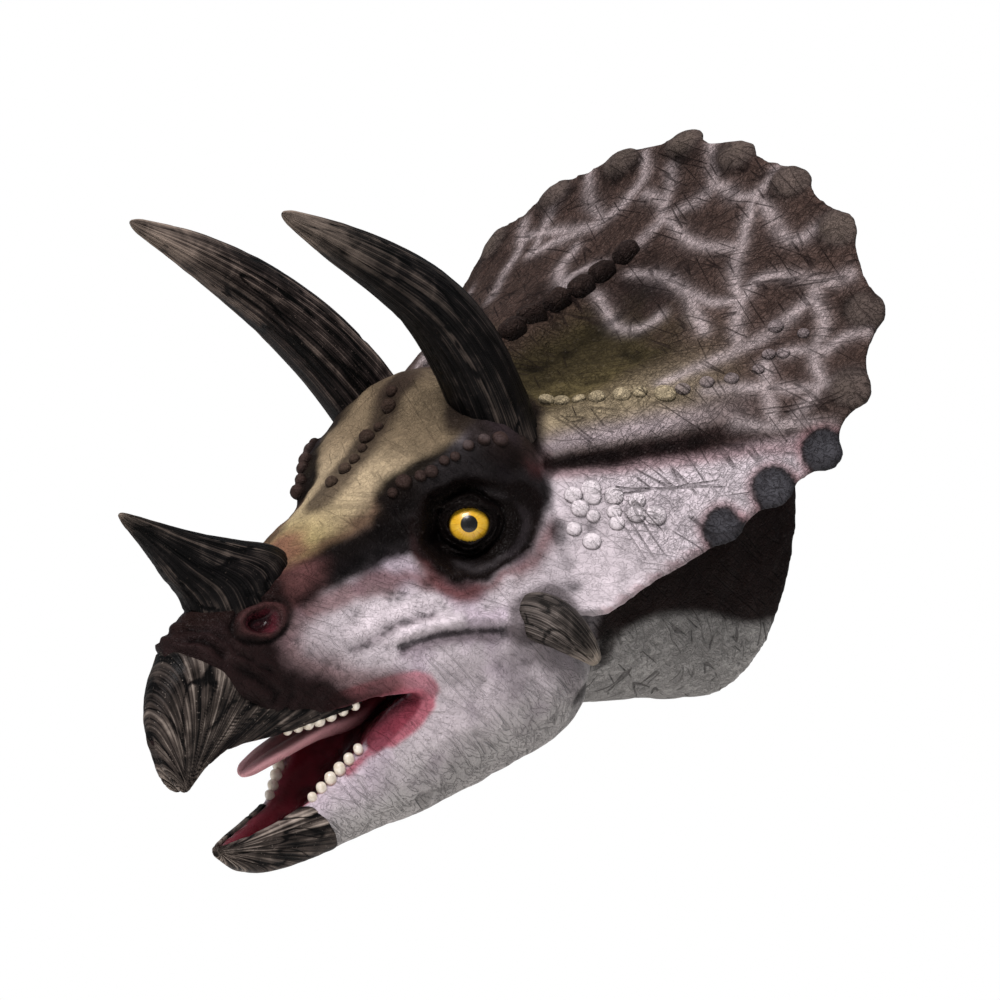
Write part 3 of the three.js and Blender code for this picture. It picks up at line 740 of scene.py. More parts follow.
def section(lines: Sequence, ahead: np.ndarray, around: np.ndarray) -> np.ndarray:
    """Points of a form given by lines along it: at each station a closed smooth curve through them and their mirror.

    Args:
        lines: lines of ahead, left and up, from the middle above to the middle below.
        ahead: stations, one for each row or for each point.
        around: places round the section, 0 on the first line, 0.5 on the last; one for each point.

    Returns:
        Points with the shape of the stations and places together.
    """
    ahead, around = np.broadcast_arrays(np.asarray(ahead, float), np.asarray(around, float))
    flat = ahead.ravel()
    half = np.stack([np.stack([np.maximum(keyed([k[:2] for k in line], flat), 0), -flat,
                               keyed([(k[0], k[2]) for k in line], flat)], -1) for line in lines], 1)
    ring = np.concatenate([half, half[:, -2:0:-1] * [-1, 1, 1]], 1)
    n = ring.shape[1]
    s = np.mod(around.ravel(), 1.0) * n
    i = np.minimum(np.floor(s).astype(int), n - 1)
    rows = np.arange(len(flat))
    four = np.stack([ring[rows, (i + k) % n] for k in (-1, 0, 1, 2)], 1)
    w = (s - i)[:, None]
    a, b, c, d = (four[:, k] for k in range(4))
    gap = [np.sqrt(np.linalg.norm(q - p, axis=-1, keepdims=True)) for p, q in ((a, b), (b, c), (c, d))]
    e1 = np.maximum(gap[1], 1e-4)
    e0, e2 = (np.where(g < 1e-4, e1, g) for g in (gap[0], gap[2]))
    m1 = ((b - a) / e0 - (c - a) / (e0 + e1) + (c - b) / e1) * e1
    m2 = ((c - b) / e1 - (d - b) / (e1 + e2) + (d - c) / e2) * e1
    made = b + w * (m1 + w * (-3 * b + 3 * c - 2 * m1 - m2 + w * (2 * b - 2 * c + m1 + m2)))
    return made.reshape(*ahead.shape, 3)


@dataclass
class FrillPlate:
    """The bony frill: a plate from its root on the skull to its scalloped rim."""

    root: np.ndarray = field(default_factory=lambda: placed(
        [(0, -60, 116), (27, -60, 112), (48, -58, 104), (62, -55, 94), (71, -50, 81), (78, -43, 64), (84, -35, 45),
         (89, -23, 21), (92, -6, -6), (94, 20, -34)]))
    rim: np.ndarray = field(default_factory=lambda: placed(
        [(0, -377, 217), (64, -366, 207), (131, -349, 187), (190, -325, 153), (233, -286, 94), (252, -227, 51),
         (244, -186, 13), (220, -146, -4), (197, -107, -19), (145, -19, -46)]))
    thick_root: float = 26.0
    thick_rim: float = 11.0
    scallop: float = 6.5
    sag: float = 40.0
    basin: float = 15.0
    side_ridge: float = 10.0
    crest: float = 12.0

    def face(self, across: np.ndarray, out: np.ndarray) -> tuple[np.ndarray, np.ndarray, np.ndarray]:
        """The plate's front, back and normal: the straight span from root to rim, raised along its normal by the
        crest and side ridges, lowered by the basins and the sag, and pushed out at the rim by the scallops.

        Args:
            across: 1 at the left cheek, 0 in the middle, -1 at the right cheek.
            out: 0 at the root, 1 at the rim.

        Returns:
            Points of the front, points of the back, and normals of the front.
        """
        across, out = np.broadcast_arrays(np.asarray(across, float), np.asarray(out, float))
        reach = np.abs(across)
        side = np.where(across < 0, -1.0, 1.0)
        mirror = np.stack([side, np.ones_like(side), np.ones_like(side)], -1)
        low = np.clip(reach - 0.01, 0, 0.98)
        sideways = self._span(low + 0.02, out) - self._span(low, out)
        outward_way = through(self.rim, reach) - through(self.root, reach)
        normal = np.cross(sideways, outward_way)
        normal[..., 0] = np.where(reach < 0.01, 0.0, normal[..., 0])
        normal = unit(normal)
        relief = (self.crest * hump(reach, 0, 0.035) * hump(out, 0.38, 0.3)
                  + self.side_ridge * hump(reach, 0.47, 0.06) * (1 - 0.75 * out)
                  - 6.0 * hump(reach, 0.595, 0.035) * fade(out, 0.95, 0.5)
                  - (self.basin * fade(reach, 0.02, 0.12) * fade(reach, 0.42, 0.3)
                     * fade(out, 0.05, 0.2) * fade(out, 0.66, 0.36))
                  - self.sag * hump(reach, 0, 0.42) * np.sin(np.pi * np.clip(out, 0, 1) ** 1.4))
        wave = 0.5 + 0.5 * np.cos(2 * np.pi * reach * 9)
        front = (self._span(reach, out) + normal * relief[..., None]
                 + unit(outward_way) * (self.scallop * wave * out ** 4)[..., None])
        thick = self.thick_root + (self.thick_rim - self.thick_root) * out
        return front * mirror, (front - normal * thick[..., None]) * mirror, normal * mirror

    def _span(self, reach: np.ndarray, out: np.ndarray) -> np.ndarray:
        """Points straight from the root to the rim."""
        start = through(self.root, reach)
        return start + (through(self.rim, reach) - start) * out[..., None]

    def solid(self) -> Shape:
        """The closed plate: rings that run out along the front, over the rim and back along the back."""
        across = np.linspace(1, -1, 181)[:, None]
        out = np.linspace(0, 1, 40)[None]
        front, back, _ = self.face(across, out)
        return tube(np.concatenate([front, back[:, ::-1]], 1))

    def coordinates(self, points: np.ndarray) -> tuple[np.ndarray, np.ndarray, np.ndarray]:
        """Where points lie on the frill: the nearest point of a grid over the front, corrected along its two steps.

        Args:
            points: points of the head's frame.

        Returns:
            Across, out, and the height above the front.
        """
        a, o = np.meshgrid(np.linspace(-1, 1, 121), np.linspace(0, 1, 23), indexing="ij")
        grid, _, normal = (v.reshape(-1, 3) for v in self.face(a, o))
        step_a = self.face(a + 0.004, o)[0].reshape(-1, 3) - self.face(a - 0.004, o)[0].reshape(-1, 3)
        step_o = self.face(a, o + 0.004)[0].reshape(-1, 3) - self.face(a, o - 0.004)[0].reshape(-1, 3)
        nearest = np.concatenate([((g @ grid.T) * -2 + (grid ** 2).sum(1)).argmin(1)
                                  for g in np.array_split(points, 40)])
        off = points - grid[nearest]
        slide = [(off * s[nearest]).sum(1) / (s[nearest] ** 2).sum(1) * 0.008 for s in (step_a, step_o)]
        across = a.ravel()[nearest] + np.clip(slide[0], -0.012, 0.012)
        out = o.ravel()[nearest] + np.clip(slide[1], -0.05, 0.05)
        for _ in range(2):
            front, _, normal = self.face(across, out)
            off = points - front
            step_a = (self.face(across + 0.004, out)[0] - front) / 0.004
            step_o = (self.face(across, out + 0.004)[0] - front) / 0.004
            across = np.clip(across + np.clip((off * step_a).sum(1) / (step_a ** 2).sum(1), -0.02, 0.02), -1, 1)
            out = np.clip(out + np.clip((off * step_o).sum(1) / (step_o ** 2).sum(1), -0.05, 0.05), -0.1, 1.1)
        return across, out, (off * normal).sum(1)


@dataclass
class Scutes:
    """Horny caps round the frill's rim, grown into it."""

    frill: FrillPlate
    a_side: int = 8
    size: Sequence[float] = (15.5, 6.8, 15.0)
    inset: float = 9.5

    def middles(self) -> tuple[np.ndarray, np.ndarray, np.ndarray]:
        """Where the caps sit.

        Returns:
            Their middles, their three directions and their place across the frill.
        """
        across = np.arange(-self.a_side, self.a_side + 1) / 9.0
        rim = np.ones(len(across))
        front, back, normal = self.frill.face(across, rim)
        along = unit(self.frill.face(across + 0.03, rim)[0] - self.frill.face(across - 0.03, rim)[0])
        outwards = unit(np.cross(normal, along))
        middle = front * 0.55 + back * 0.45 - outwards * self.inset
        return middle, np.stack([along, np.cross(along, outwards), outwards], 1), across

    def solid(self) -> Shape:
        """The caps as rounded lumps, filled out a little from ovals."""
        middle, axes, _ = self.middles()
        return lumps(middle, axes, np.tile(self.size, (len(middle), 1)), 28, 18, 0.8)


@dataclass(frozen=True)
class Eye:
    """Where an eyeball sits: its middle, its size and the way it looks."""

    left: float = 66.0
    ahead: float = 13.0
    up: float = 34.0
    radius: float = 21.0

    def frame(self, side: Side) -> tuple[np.ndarray, np.ndarray]:
        """The eyeball's middle and its three directions.

        Returns:
            The middle, and rows for towards the tail, up, and the way the eye looks.
        """
        middle = placed([(self.left, self.ahead, self.up)], side)[0]
        c, s, h = math.cos(NOSE_DOWN), math.sin(NOSE_DOWN), math.sqrt(0.5)
        look = np.array([side.value * h, -h * c, h * s])
        tail = np.array([side.value * h, h * c, -h * s])
        return middle, np.stack([tail, np.array([0.0, s, c]), look])


def plain_object(shape: Shape) -> bpy.types.Object:
    """A passing object of a shape, in millimetres, for a modifier to work on."""
    here, _, _ = shape.loops()
    count = (shape.faces >= 0).sum(1)
    mesh = bpy.data.meshes.new("passing")
    mesh.vertices.add(len(shape.points))
    mesh.vertices.foreach_set("co", shape.points.astype(np.float32).ravel())
    mesh.loops.add(len(here))
    mesh.loops.foreach_set("vertex_index", here.astype(np.int32))
    mesh.polygons.add(len(count))
    mesh.polygons.foreach_set("loop_start", (np.cumsum(count) - count).astype(np.int32))
    mesh.update(calc_edges=True)
    made = bpy.data.objects.new("passing", mesh)
    bpy.context.scene.collection.objects.link(made)
    return made


def read_back(made: bpy.types.Object) -> Shape:
    """The shape that an object's modifiers give, after which the object is removed."""
    mesh = bpy.data.meshes.new_from_object(made.evaluated_get(bpy.context.evaluated_depsgraph_get()))
    points = np.empty(len(mesh.vertices) * 3, np.float32)
    mesh.vertices.foreach_get("co", points)
    here = np.empty(len(mesh.loops), np.int32)
    mesh.loops.foreach_get("vertex_index", here)
    count = np.empty(len(mesh.polygons), np.int32)
    mesh.polygons.foreach_get("loop_total", count)
    faces = np.full((len(count), max(int(count.max()), 4)), -1)
    faces[np.arange(faces.shape[1])[None] < count[:, None]] = here
    used = [made.data, mesh]
    bpy.data.objects.remove(made)
    for spare in used:
        bpy.data.meshes.remove(spare)
    return Shape(points.reshape(-1, 3).astype(float), faces)


@dataclass(frozen=True)
class Fold:
    """A stroke of modelling: a ridge, or a groove where it is negative, along a line on both sides of the head."""

    line: Sequence[Sequence[float]]
    width: float
    height: float


@dataclass(frozen=True)
class Stroke:
    """A stroke of the airbrush along a line on both sides: full within its width, gone at its width plus softness."""

    line: Sequence[Sequence[float]]
    colour: str
    width: float
    soft: float
    strength: float = 1.0


@dataclass
class Skin:
    """The one skin of head, jaw, neck and frill."""

    frill: FrillPlate
    scutes: Scutes
    eye: Eye
    voxel: float = 3.75
    faces_most: int = 150000
    neck: Sequence[Sequence[float]] = ((0, 107, -159, 159), (55, 107, -159, 148), (115, 103, -159, 126),
                                       (185, 96, -158, 96), (245, 86, -142, 64))
    fine_spots: Sequence[Sequence[float]] = ((66, 30, 34, 50), (34, 205, 28, 36), (64, 125, -62, 42),
                                             (95, 80, -22, 36), (20, 250, 26, 30), (45, 165, -40, 30))
    lid_spot: float = 31.0
    beak_edge: Sequence[Sequence[float]] = ((0, 270, 34), (14, 264, 30), (22, 252, 20), (27, 244, 6), (31, 232, -10),
                                            (36, 214, -26))
    folds: Sequence[Fold] = (
        Fold(((75, 116, -15), (85, 94, -15), (98, 67, -20), (108, 47, -27), (116, 34, -36)), 6.0, 5.5),
        Fold(((76, 116, -23), (87, 92, -24), (100, 66, -30), (110, 46, -37)), 4.0, -5.0),
        Fold(((55, 150, -5), (66, 122, 0), (78, 92, 0), (90, 68, -5)), 6.0, 1.8),
        Fold(((58, 146, -14), (68, 122, -9), (80, 92, -9)), 4.5, -1.6),
        Fold(((30, 178, 45), (38, 129, 54), (47, 86, 63), (53, 63, 78)), 7.0, 3.0),
        Fold(((53, 60, 78), (66, 45, 84), (80, 26, 92), (86, 5, 92), (88, -14, 82)), 9.0, 7.5),
        Fold(((38, 168, 30), (46, 129, 38), (55, 96, 44)), 8.0, -3.0),
        Fold(((40, 178, -50), (57, 150, -50), (69, 131, -49), (79, 110, -62), (70, 115, -76), (57, 134, -87)),
             5.0, 2.2),
        Fold(((0, 268, 38), (12, 264, 34), (21, 254, 24), (26, 246, 10), (29, 236, -8), (33, 218, -24)), 4.0, 4.4),
        Fold(((30, 196, 48), (36, 186, 42), (40, 181, 32), (42, 184, 22)), 4.0, 4.0),
        Fold(((97, -22, -112), (80, -62, -116), (66, -84, -110), (76, -88, -94)), 7.0, -4.0),
        Fold(((86, 62, 8), (97, 42, -4), (106, 14, -6), (108, -14, 6), (102, -30, 24)), 6.0, 2.2),
    )

    def build(self) -> Shape:
        """Joins the forms into one surface, thins what faces the wall, makes the face finer and models it.

        Returns:
            The skin's shape, in the head's frame.
        """
        whole = joined(Shape(s.points, s.faces) for s in
                       (self._form(HEAD_LINES), self._form(JAW_LINES), self.frill.solid(), self._neck(),
                        self.scutes.solid()))
        block = plain_object(whole)
        remesh = block.modifiers.new("one_surface", "REMESH")
        remesh.mode, remesh.voxel_size = "VOXEL", self.voxel
        shape = read_back(block)
        shape.eased(4, 0.5)
        shape = self._thinned(shape)
        for spots in (self.fine_spots, [(self.eye.left + 14, self.eye.ahead + 14, self.eye.up + 2, self.lid_spot)]):
            shape = refined(shape, self._inside(shape.points, spots))
            shape.eased(3, np.where(self._inside(shape.points, spots), 0.5, 0.0))
        self._model(shape)
        return shape

    def _form(self, lines: Sequence) -> Shape:
        """A closed loft through lines along it, with stations closer together towards the beak."""
        first, last = lines[0][0][0], lines[0][-1][0]
        t = np.linspace(0, 1, 150)
        ahead = first + (last - first) * (0.35 * t + 0.65 * t * t)
        return tube(section(lines, ahead[:, None], np.arange(144)[None] / 144))

    def _neck(self) -> Shape:
        """A tube of ovals from the wall into the head, read smoothly between its sections."""
        out = np.linspace(0, 245, 60)
        half, low, high = (keyed([(s[0], s[k]) for s in self.neck], out)[:, None] for k in (1, 2, 3))
        angle = np.arange(120)[None] / 120 * 2 * np.pi
        x, z = half * np.cos(angle), (high + low) / 2 + (high - low) / 2 * np.sin(angle)
        return tube(to_head(np.stack([x, np.broadcast_to(-out[:, None], x.shape), z], -1)))

    def _inside(self, points: np.ndarray, spots: Sequence[Sequence[float]]) -> np.ndarray:
        """Whether each point lies in one of the balls, given as left, ahead, up and radius, on either side."""
        folded = points * [1, 1, 1]
        folded[:, 0] = np.abs(folded[:, 0])
        return np.any([np.linalg.norm(folded - placed([s[:3]])[0], axis=1) < s[3] for s in spots], axis=0)

    def _thinned(self, shape: Shape) -> Shape:
        """Merges faces on the frill's back and near the wall, where nothing is painted finely."""
        _, out, height = self.frill.coordinates(shape.points)
        wall = -to_part(shape.points)[:, 1] / MM
        behind = (height < -6) & (height > -40) & (out > 0.12) & (out < 0.96)
        hidden = (behind & (wall < 240)) | (wall < 3)
        block = plain_object(shape)
        group = block.vertex_groups.new(name="hidden")
        group.add(np.flatnonzero(hidden).tolist(), 1.0, "REPLACE")
        thin = block.modifiers.new("fewer", "DECIMATE")
        triangles = ((shape.faces >= 0).sum(1) - 2).sum()
        thin.ratio, thin.vertex_group = min(1.0, self.faces_most / triangles), "hidden"
        LOG.info("skin: %d triangles before thinning", triangles)
        return read_back(block)

    def _model(self, shape: Shape) -> None:
        """Moves the surface along its normals by each fold's bell curve, wrinkles the muzzle behind the beak, makes
        the whole uneven with noise, opens the nostrils and sets the lids."""
        points, normal = shape.points, shape.normals()
        folded = points.copy()
        folded[:, 0] = np.abs(folded[:, 0])
        sway, other = cloudy(points, 26.0, 3) - 0.5, cloudy(points, 40.0, 6) - 0.5
        lift = np.zeros(len(points))
        for fold in self.folds:
            far = away(folded, placed(fold.line), fold.width * 3)
            lift += fold.height * hump(far + 5.0 * sway, 0, fold.width) * (0.95 + 1.2 * other)
        off = away(folded, placed(self.beak_edge), 50.0)
        lift += 1.3 * np.cos(2 * np.pi * (off / 11.0 + 2.4 * sway)) * fade(off, 32, 14)
        free = fade(-to_part(points)[:, 1] / MM, 2, 14)
        lift += free * (5.0 * sway + 1.1 * (cloudy(points, 10.0, 4) - 0.5))
        ahead, up = -points[:, 1], points[:, 2]
        drawn = cloudy(to_part(points) / MM * [1, 0.3, 1], 9.0, 5)
        lift -= (1.1 * hump(drawn, 0.5, 0.06) * fade(ahead, 20, 60) * fade(ahead, 215, 180) * fade(folded[:, 0], 34, 44)
                 * fade(up, 40, 26) * fade(up, -45, -30))
        hole = np.linalg.norm((folded - placed([NOSTRIL])[0]) / NOSTRIL_SIZE, axis=1) + 1.2 * sway
        lift += -8.0 * fade(hole, 1.0, 0.4) + 3.4 * hump(hole, 1.22, 0.22) - 2.0 * hump(hole, 1.7, 0.2)
        upper = fade(ahead - keyed(((40, 271), (30, 262), (10, 247), (-26, 226), (-45, 195), (-56, 160)), up), -2, 6)
        lift *= 1 - np.where(up > -85, upper, fade(ahead, 194, 200))
        shape.points = points + normal * lift[:, None]
        for side in Side:
            self._set_lids(shape, side)

    def _set_lids(self, shape: Shape, side: Side) -> None:
        """Shapes the skin round an eyeball as a height along the eye's look over its plane: a lid that lies on the
        ball outside an almond-shaped opening, uneven folds about it, and easing into the face further out."""
        middle, axes = self.eye.frame(side)
        local = (shape.points - middle) @ axes.T
        p, q, h = local.T
        round_way = np.hypot(p, q)
        flat = local * [side.value, 1, 0]
        uneven = cloudy(flat, 15.0, 8) - 0.5
        almond = np.hypot((p - 0.5) / np.where(p < 0, 16.5, 14.6), (q + 0.4) / np.where(q > 0, 12.0, 12.4))
        ball = np.sqrt(np.maximum(self.eye.radius ** 2 - np.minimum(round_way, 20.0) ** 2, 0))
        lid = np.sqrt(np.maximum(24.2 ** 2 - np.minimum(round_way, 23.0) ** 2, 0))
        lid = lid - 4.0 * fade(round_way, 20, 30)
        rings = (1.3 * np.cos(2 * np.pi * (almond - 1.05 + 0.5 * uneven) / 0.34) * hump(almond, 1.3, 0.4)
                 + 2.6 * np.cos(2 * np.pi * (almond - 1.1 + 1.1 * uneven) / 0.62) * hump(almond, 1.9, 0.6))
        brow = 4.5 * hump(q - 17 + 0.012 * (p + 4) ** 2, 0, 4.5) * fade(np.abs(p), 34, 16)
        target = np.where(almond < 1.0, ball - 3.5, lid + rings + brow + 3.0 * uneven)
        hold = fade(round_way + 10 * uneven, 38, 21) * (np.abs(h) < 55)
        near = (hold > 0) & (h > -12)
        moved = local[:, 2] + (target - local[:, 2]) * hold
        local[near, 2] = moved[near]
        shape.points = np.where(near[:, None], local @ axes + middle, shape.points)


@dataclass(frozen=True)
class EyeFinish:
    """A glossy eye: yellow iris with fine rays and a dark edge round a black pupil."""

    name: str = "glossy_yellow_eye"
    iris: str = "dfae2c"
    ray: str = "b07a16"
    edge: str = "2a1604"
    pupil: str = "060505"

    def make(self) -> bpy.types.Material:
        """Builds the material from the angle off the look, which the mesh's map carries as v."""
        b = Board(self.name)
        spread = b.wire("ShaderNodeSeparateXYZ", {}, {"Vector": b.along((1, 1, 1))}, "Y")
        rays = b.noise(b.along((70.0, 2.5, 1.0)), 1.0, 4.0)
        cloud = b.noise(b.place(), 160.0, 4.0)
        colour = b.blend(b.step(rays, 0.45, 0.75) * 0.75, ink(self.iris), ink(self.ray))
        colour = b.blend(b.step(cloud, 0.4, 0.75) * 0.35, colour, ink("f2d65a"))
        colour = b.blend(b.step(spread, 0.19, 0.245), colour, ink(self.edge))
        colour = b.blend(b.step(spread, 0.083, 0.074), colour, ink(self.pupil))
        return b.close(colour, b.step(cloud, 0.3, 0.7, 0.22, 0.36), b.bump(rays, 0.0002, 0.3),
                       Coat_Weight=0.3, Coat_Roughness=0.05)


@dataclass
class Eyes:
    """Both eyeballs."""

    eye: Eye

    def build(self, material: bpy.types.Material) -> None:
        """Makes each ball as rings about the way it looks, from the pupil to the back, the cornea a little raised."""
        for side in Side:
            middle, axes = self.eye.frame(side)
            angle = np.linspace(0.02, 0.985, 40)[:, None] * np.pi
            turn = np.arange(72)[None] / 72 * 2 * np.pi
            radius = self.eye.radius * (1 + 0.025 * hump(angle, 0, 0.5))
            local = np.stack([radius * np.sin(angle) * np.cos(turn), radius * np.sin(angle) * np.sin(turn),
                              radius * np.cos(angle) * np.ones_like(turn)], -1)
            name = f"eye_{side.name.lower()}"
            settle(mesh_of(f"eyeball_{side.name.lower()}", tube(local @ axes + middle)), material, Slot.EYE, name)


@dataclass
class Studio:
    """Pale floor, soft lights and the camera at the photograph's angle."""

    floor_below: float = 0.62
    floor_radius: float = 1.7
    distance: float = 4.0
    lens: float = 192.0

    def build(self) -> None:
        """Sets up floor, lights, world and camera."""
        self._floor()
        self._light("key", (0.9, -2.2, 1.75), 1.3, 88.0)
        self._light("fill", (-1.9, -1.4, 1.2), 1.2, 22.0)
        self._light("top", (0.5, 0.2, 2.1), 1.2, 30.0)
        self._world()
        self._camera()

    def _floor(self) -> None:
        """A disc of rings below the head, with a faintly clouded pale finish."""
        ring = np.linspace(0.02, self.floor_radius, 12)[:, None]
        angle = np.arange(64)[None] / 64 * 2 * np.pi
        x, y = ring * np.cos(angle), ring * np.sin(angle) - 0.3
        points = np.stack([x, y, np.full_like(x, -self.floor_below)], -1).reshape(-1, 3)
        r, c = (g.ravel() for g in np.meshgrid(np.arange(11), np.arange(64), indexing="ij"))
        quads = np.stack([r * 64 + c, (r + 1) * 64 + c, (r + 1) * 64 + (c + 1) % 64, r * 64 + (c + 1) % 64], 1)
        mesh = bpy.data.meshes.new("floor")
        mesh.from_pydata(points.tolist(), [], quads.tolist() + [list(range(64))])
        floor = bpy.data.objects.new("floor", mesh)
        bpy.context.scene.collection.objects.link(floor)
        b = Board("pale_floor")
        cloud = b.noise(b.place(), 3.0, 3.0)
        mesh.materials.append(b.close(b.ramp(cloud, [(0.3, linear("dedcd8")), (0.7, linear("e8e6e2"))]), 0.7, None))

    def _light(self, name: str, place: Sequence[float], size: float, power: float) -> None:
        """A square soft light turned towards the head."""
        lamp = bpy.data.lights.new(name, "AREA")
        lamp.size, lamp.energy, lamp.color = size, power, (1.0, 0.95, 0.965)
        made = bpy.data.objects.new(name, lamp)
        way = np.array([0.0, -0.32, -0.02]) - np.array(place)
        flat = math.hypot(way[0], way[1])
        made.location = place
        made.rotation_euler = (math.atan2(flat, -way[2]), 0.0, math.atan2(-way[0], way[1]))
        made.visible_glossy = name == "key"
        bpy.context.scene.collection.objects.link(made)

    def _world(self) -> None:
        """White surroundings that light the head more gently than they look."""
        world = bpy.data.worlds.new("white_studio")
        bpy.context.scene.world = world
        world.use_nodes = True
        tree = world.node_tree
        seen = tree.nodes.new("ShaderNodeLightPath")
        shown, lit = tree.nodes.new("ShaderNodeBackground"), tree.nodes["Background"]
        lit.inputs["Color"].default_value = (0.9, 0.95, 1.0, 1.0)
        lit.inputs["Strength"].default_value = 0.24
        shown.inputs["Color"].default_value = (1.0, 1.0, 1.0, 1.0)
        mix = tree.nodes.new("ShaderNodeMixShader")
        tree.links.new(seen.outputs["Is Camera Ray"], mix.inputs["Fac"])
        tree.links.new(lit.outputs["Background"], mix.inputs[1])
        tree.links.new(shown.outputs["Background"], mix.inputs[2])
        tree.links.new(mix.outputs["Shader"], tree.nodes["World Output"].inputs["Surface"])
        bpy.context.scene.view_settings.view_transform = "Standard"

    def _camera(self) -> None:
        """A level long lens, 45 degrees round from the front on the head's left."""
        camera = bpy.data.cameras.new("camera")
        camera.lens, camera.sensor_width, camera.clip_end = self.lens, 36.0, 60.0
        made = bpy.data.objects.new("camera", camera)
        h = math.sqrt(0.5)
        right, forward = np.array([h, h, 0.0]), np.array([-h, h, 0.0])
        target = SKULL_PLACE * MM + 0.0525 * right + np.array([0.0, 0.0, 0.045])
        made.location = target - self.distance * forward
        made.rotation_euler = (math.pi / 2, 0.0, math.pi / 4)
        bpy.context.scene.collection.objects.link(made)
        bpy.context.scene.camera = made


def grooves(u: np.ndarray, v: np.ndarray, lines: int, seed: int) -> np.ndarray:
    """Groove height from 0 to 1: long patches of three widths round u, drawn out along v, with sharp valleys.

    Args:
        u: place around, where 0 and 1 meet.
        v: place along.
        lines: broad grooves around.
        seed: which set of grooves.

    Returns:
        The height of each point.
    """
    broad = patchy(u + 0.02 * np.sin(5 * v), v, (lines, 3), seed)
    middle = patchy(u + 0.015 * np.sin(9 * v + 1), v, (lines * 2, 6), seed + 1)
    fine = patchy(u, v, (lines * 5, 9), seed + 2)
    crack = np.abs(patchy(u + 0.02 * np.sin(7 * v), v, (lines, 5), seed + 3) - 0.5) * 2
    return np.clip(0.42 * broad + 0.33 * middle + 0.25 * fine, 0, 1) * fade(crack, 0.0, 0.16)


def horn_rings(path: np.ndarray, radii: Sequence[float], rings: int, around: int) -> tuple[np.ndarray, np.ndarray]:
    """Circles carried along a curve, square to it, of a radius keyed along it and rounded off at the tip.

    Args:
        path: points of the curve, from root to tip.
        radii: radius at even steps along it.
        rings: circles along the horn.
        around: points round a circle.

    Returns:
        The circles' points, and the directions out of the horn at them.
    """
    t = np.linspace(0, 1, rings)
    middle = through(path, t)
    along = unit(through(path, np.minimum(t + 0.004, 1)) - through(path, np.maximum(t - 0.004, 0)))
    fore = unit(np.cross([1.0, 0.0, 0.0], along))
    over = np.cross(along, fore)
    radius = keyed(list(zip(np.linspace(0, 1, len(radii)), radii)), t)
    radius = radius * np.sqrt(np.maximum(1 - np.clip((t - 0.965) / 0.035, 0, 1) ** 2, 0.0004))
    angle = np.arange(around) / around * 2 * np.pi
    way = np.cos(angle)[None, :, None] * fore[:, None] + np.sin(angle)[None, :, None] * over[:, None]
    return middle[:, None] + way * radius[:, None, None], way


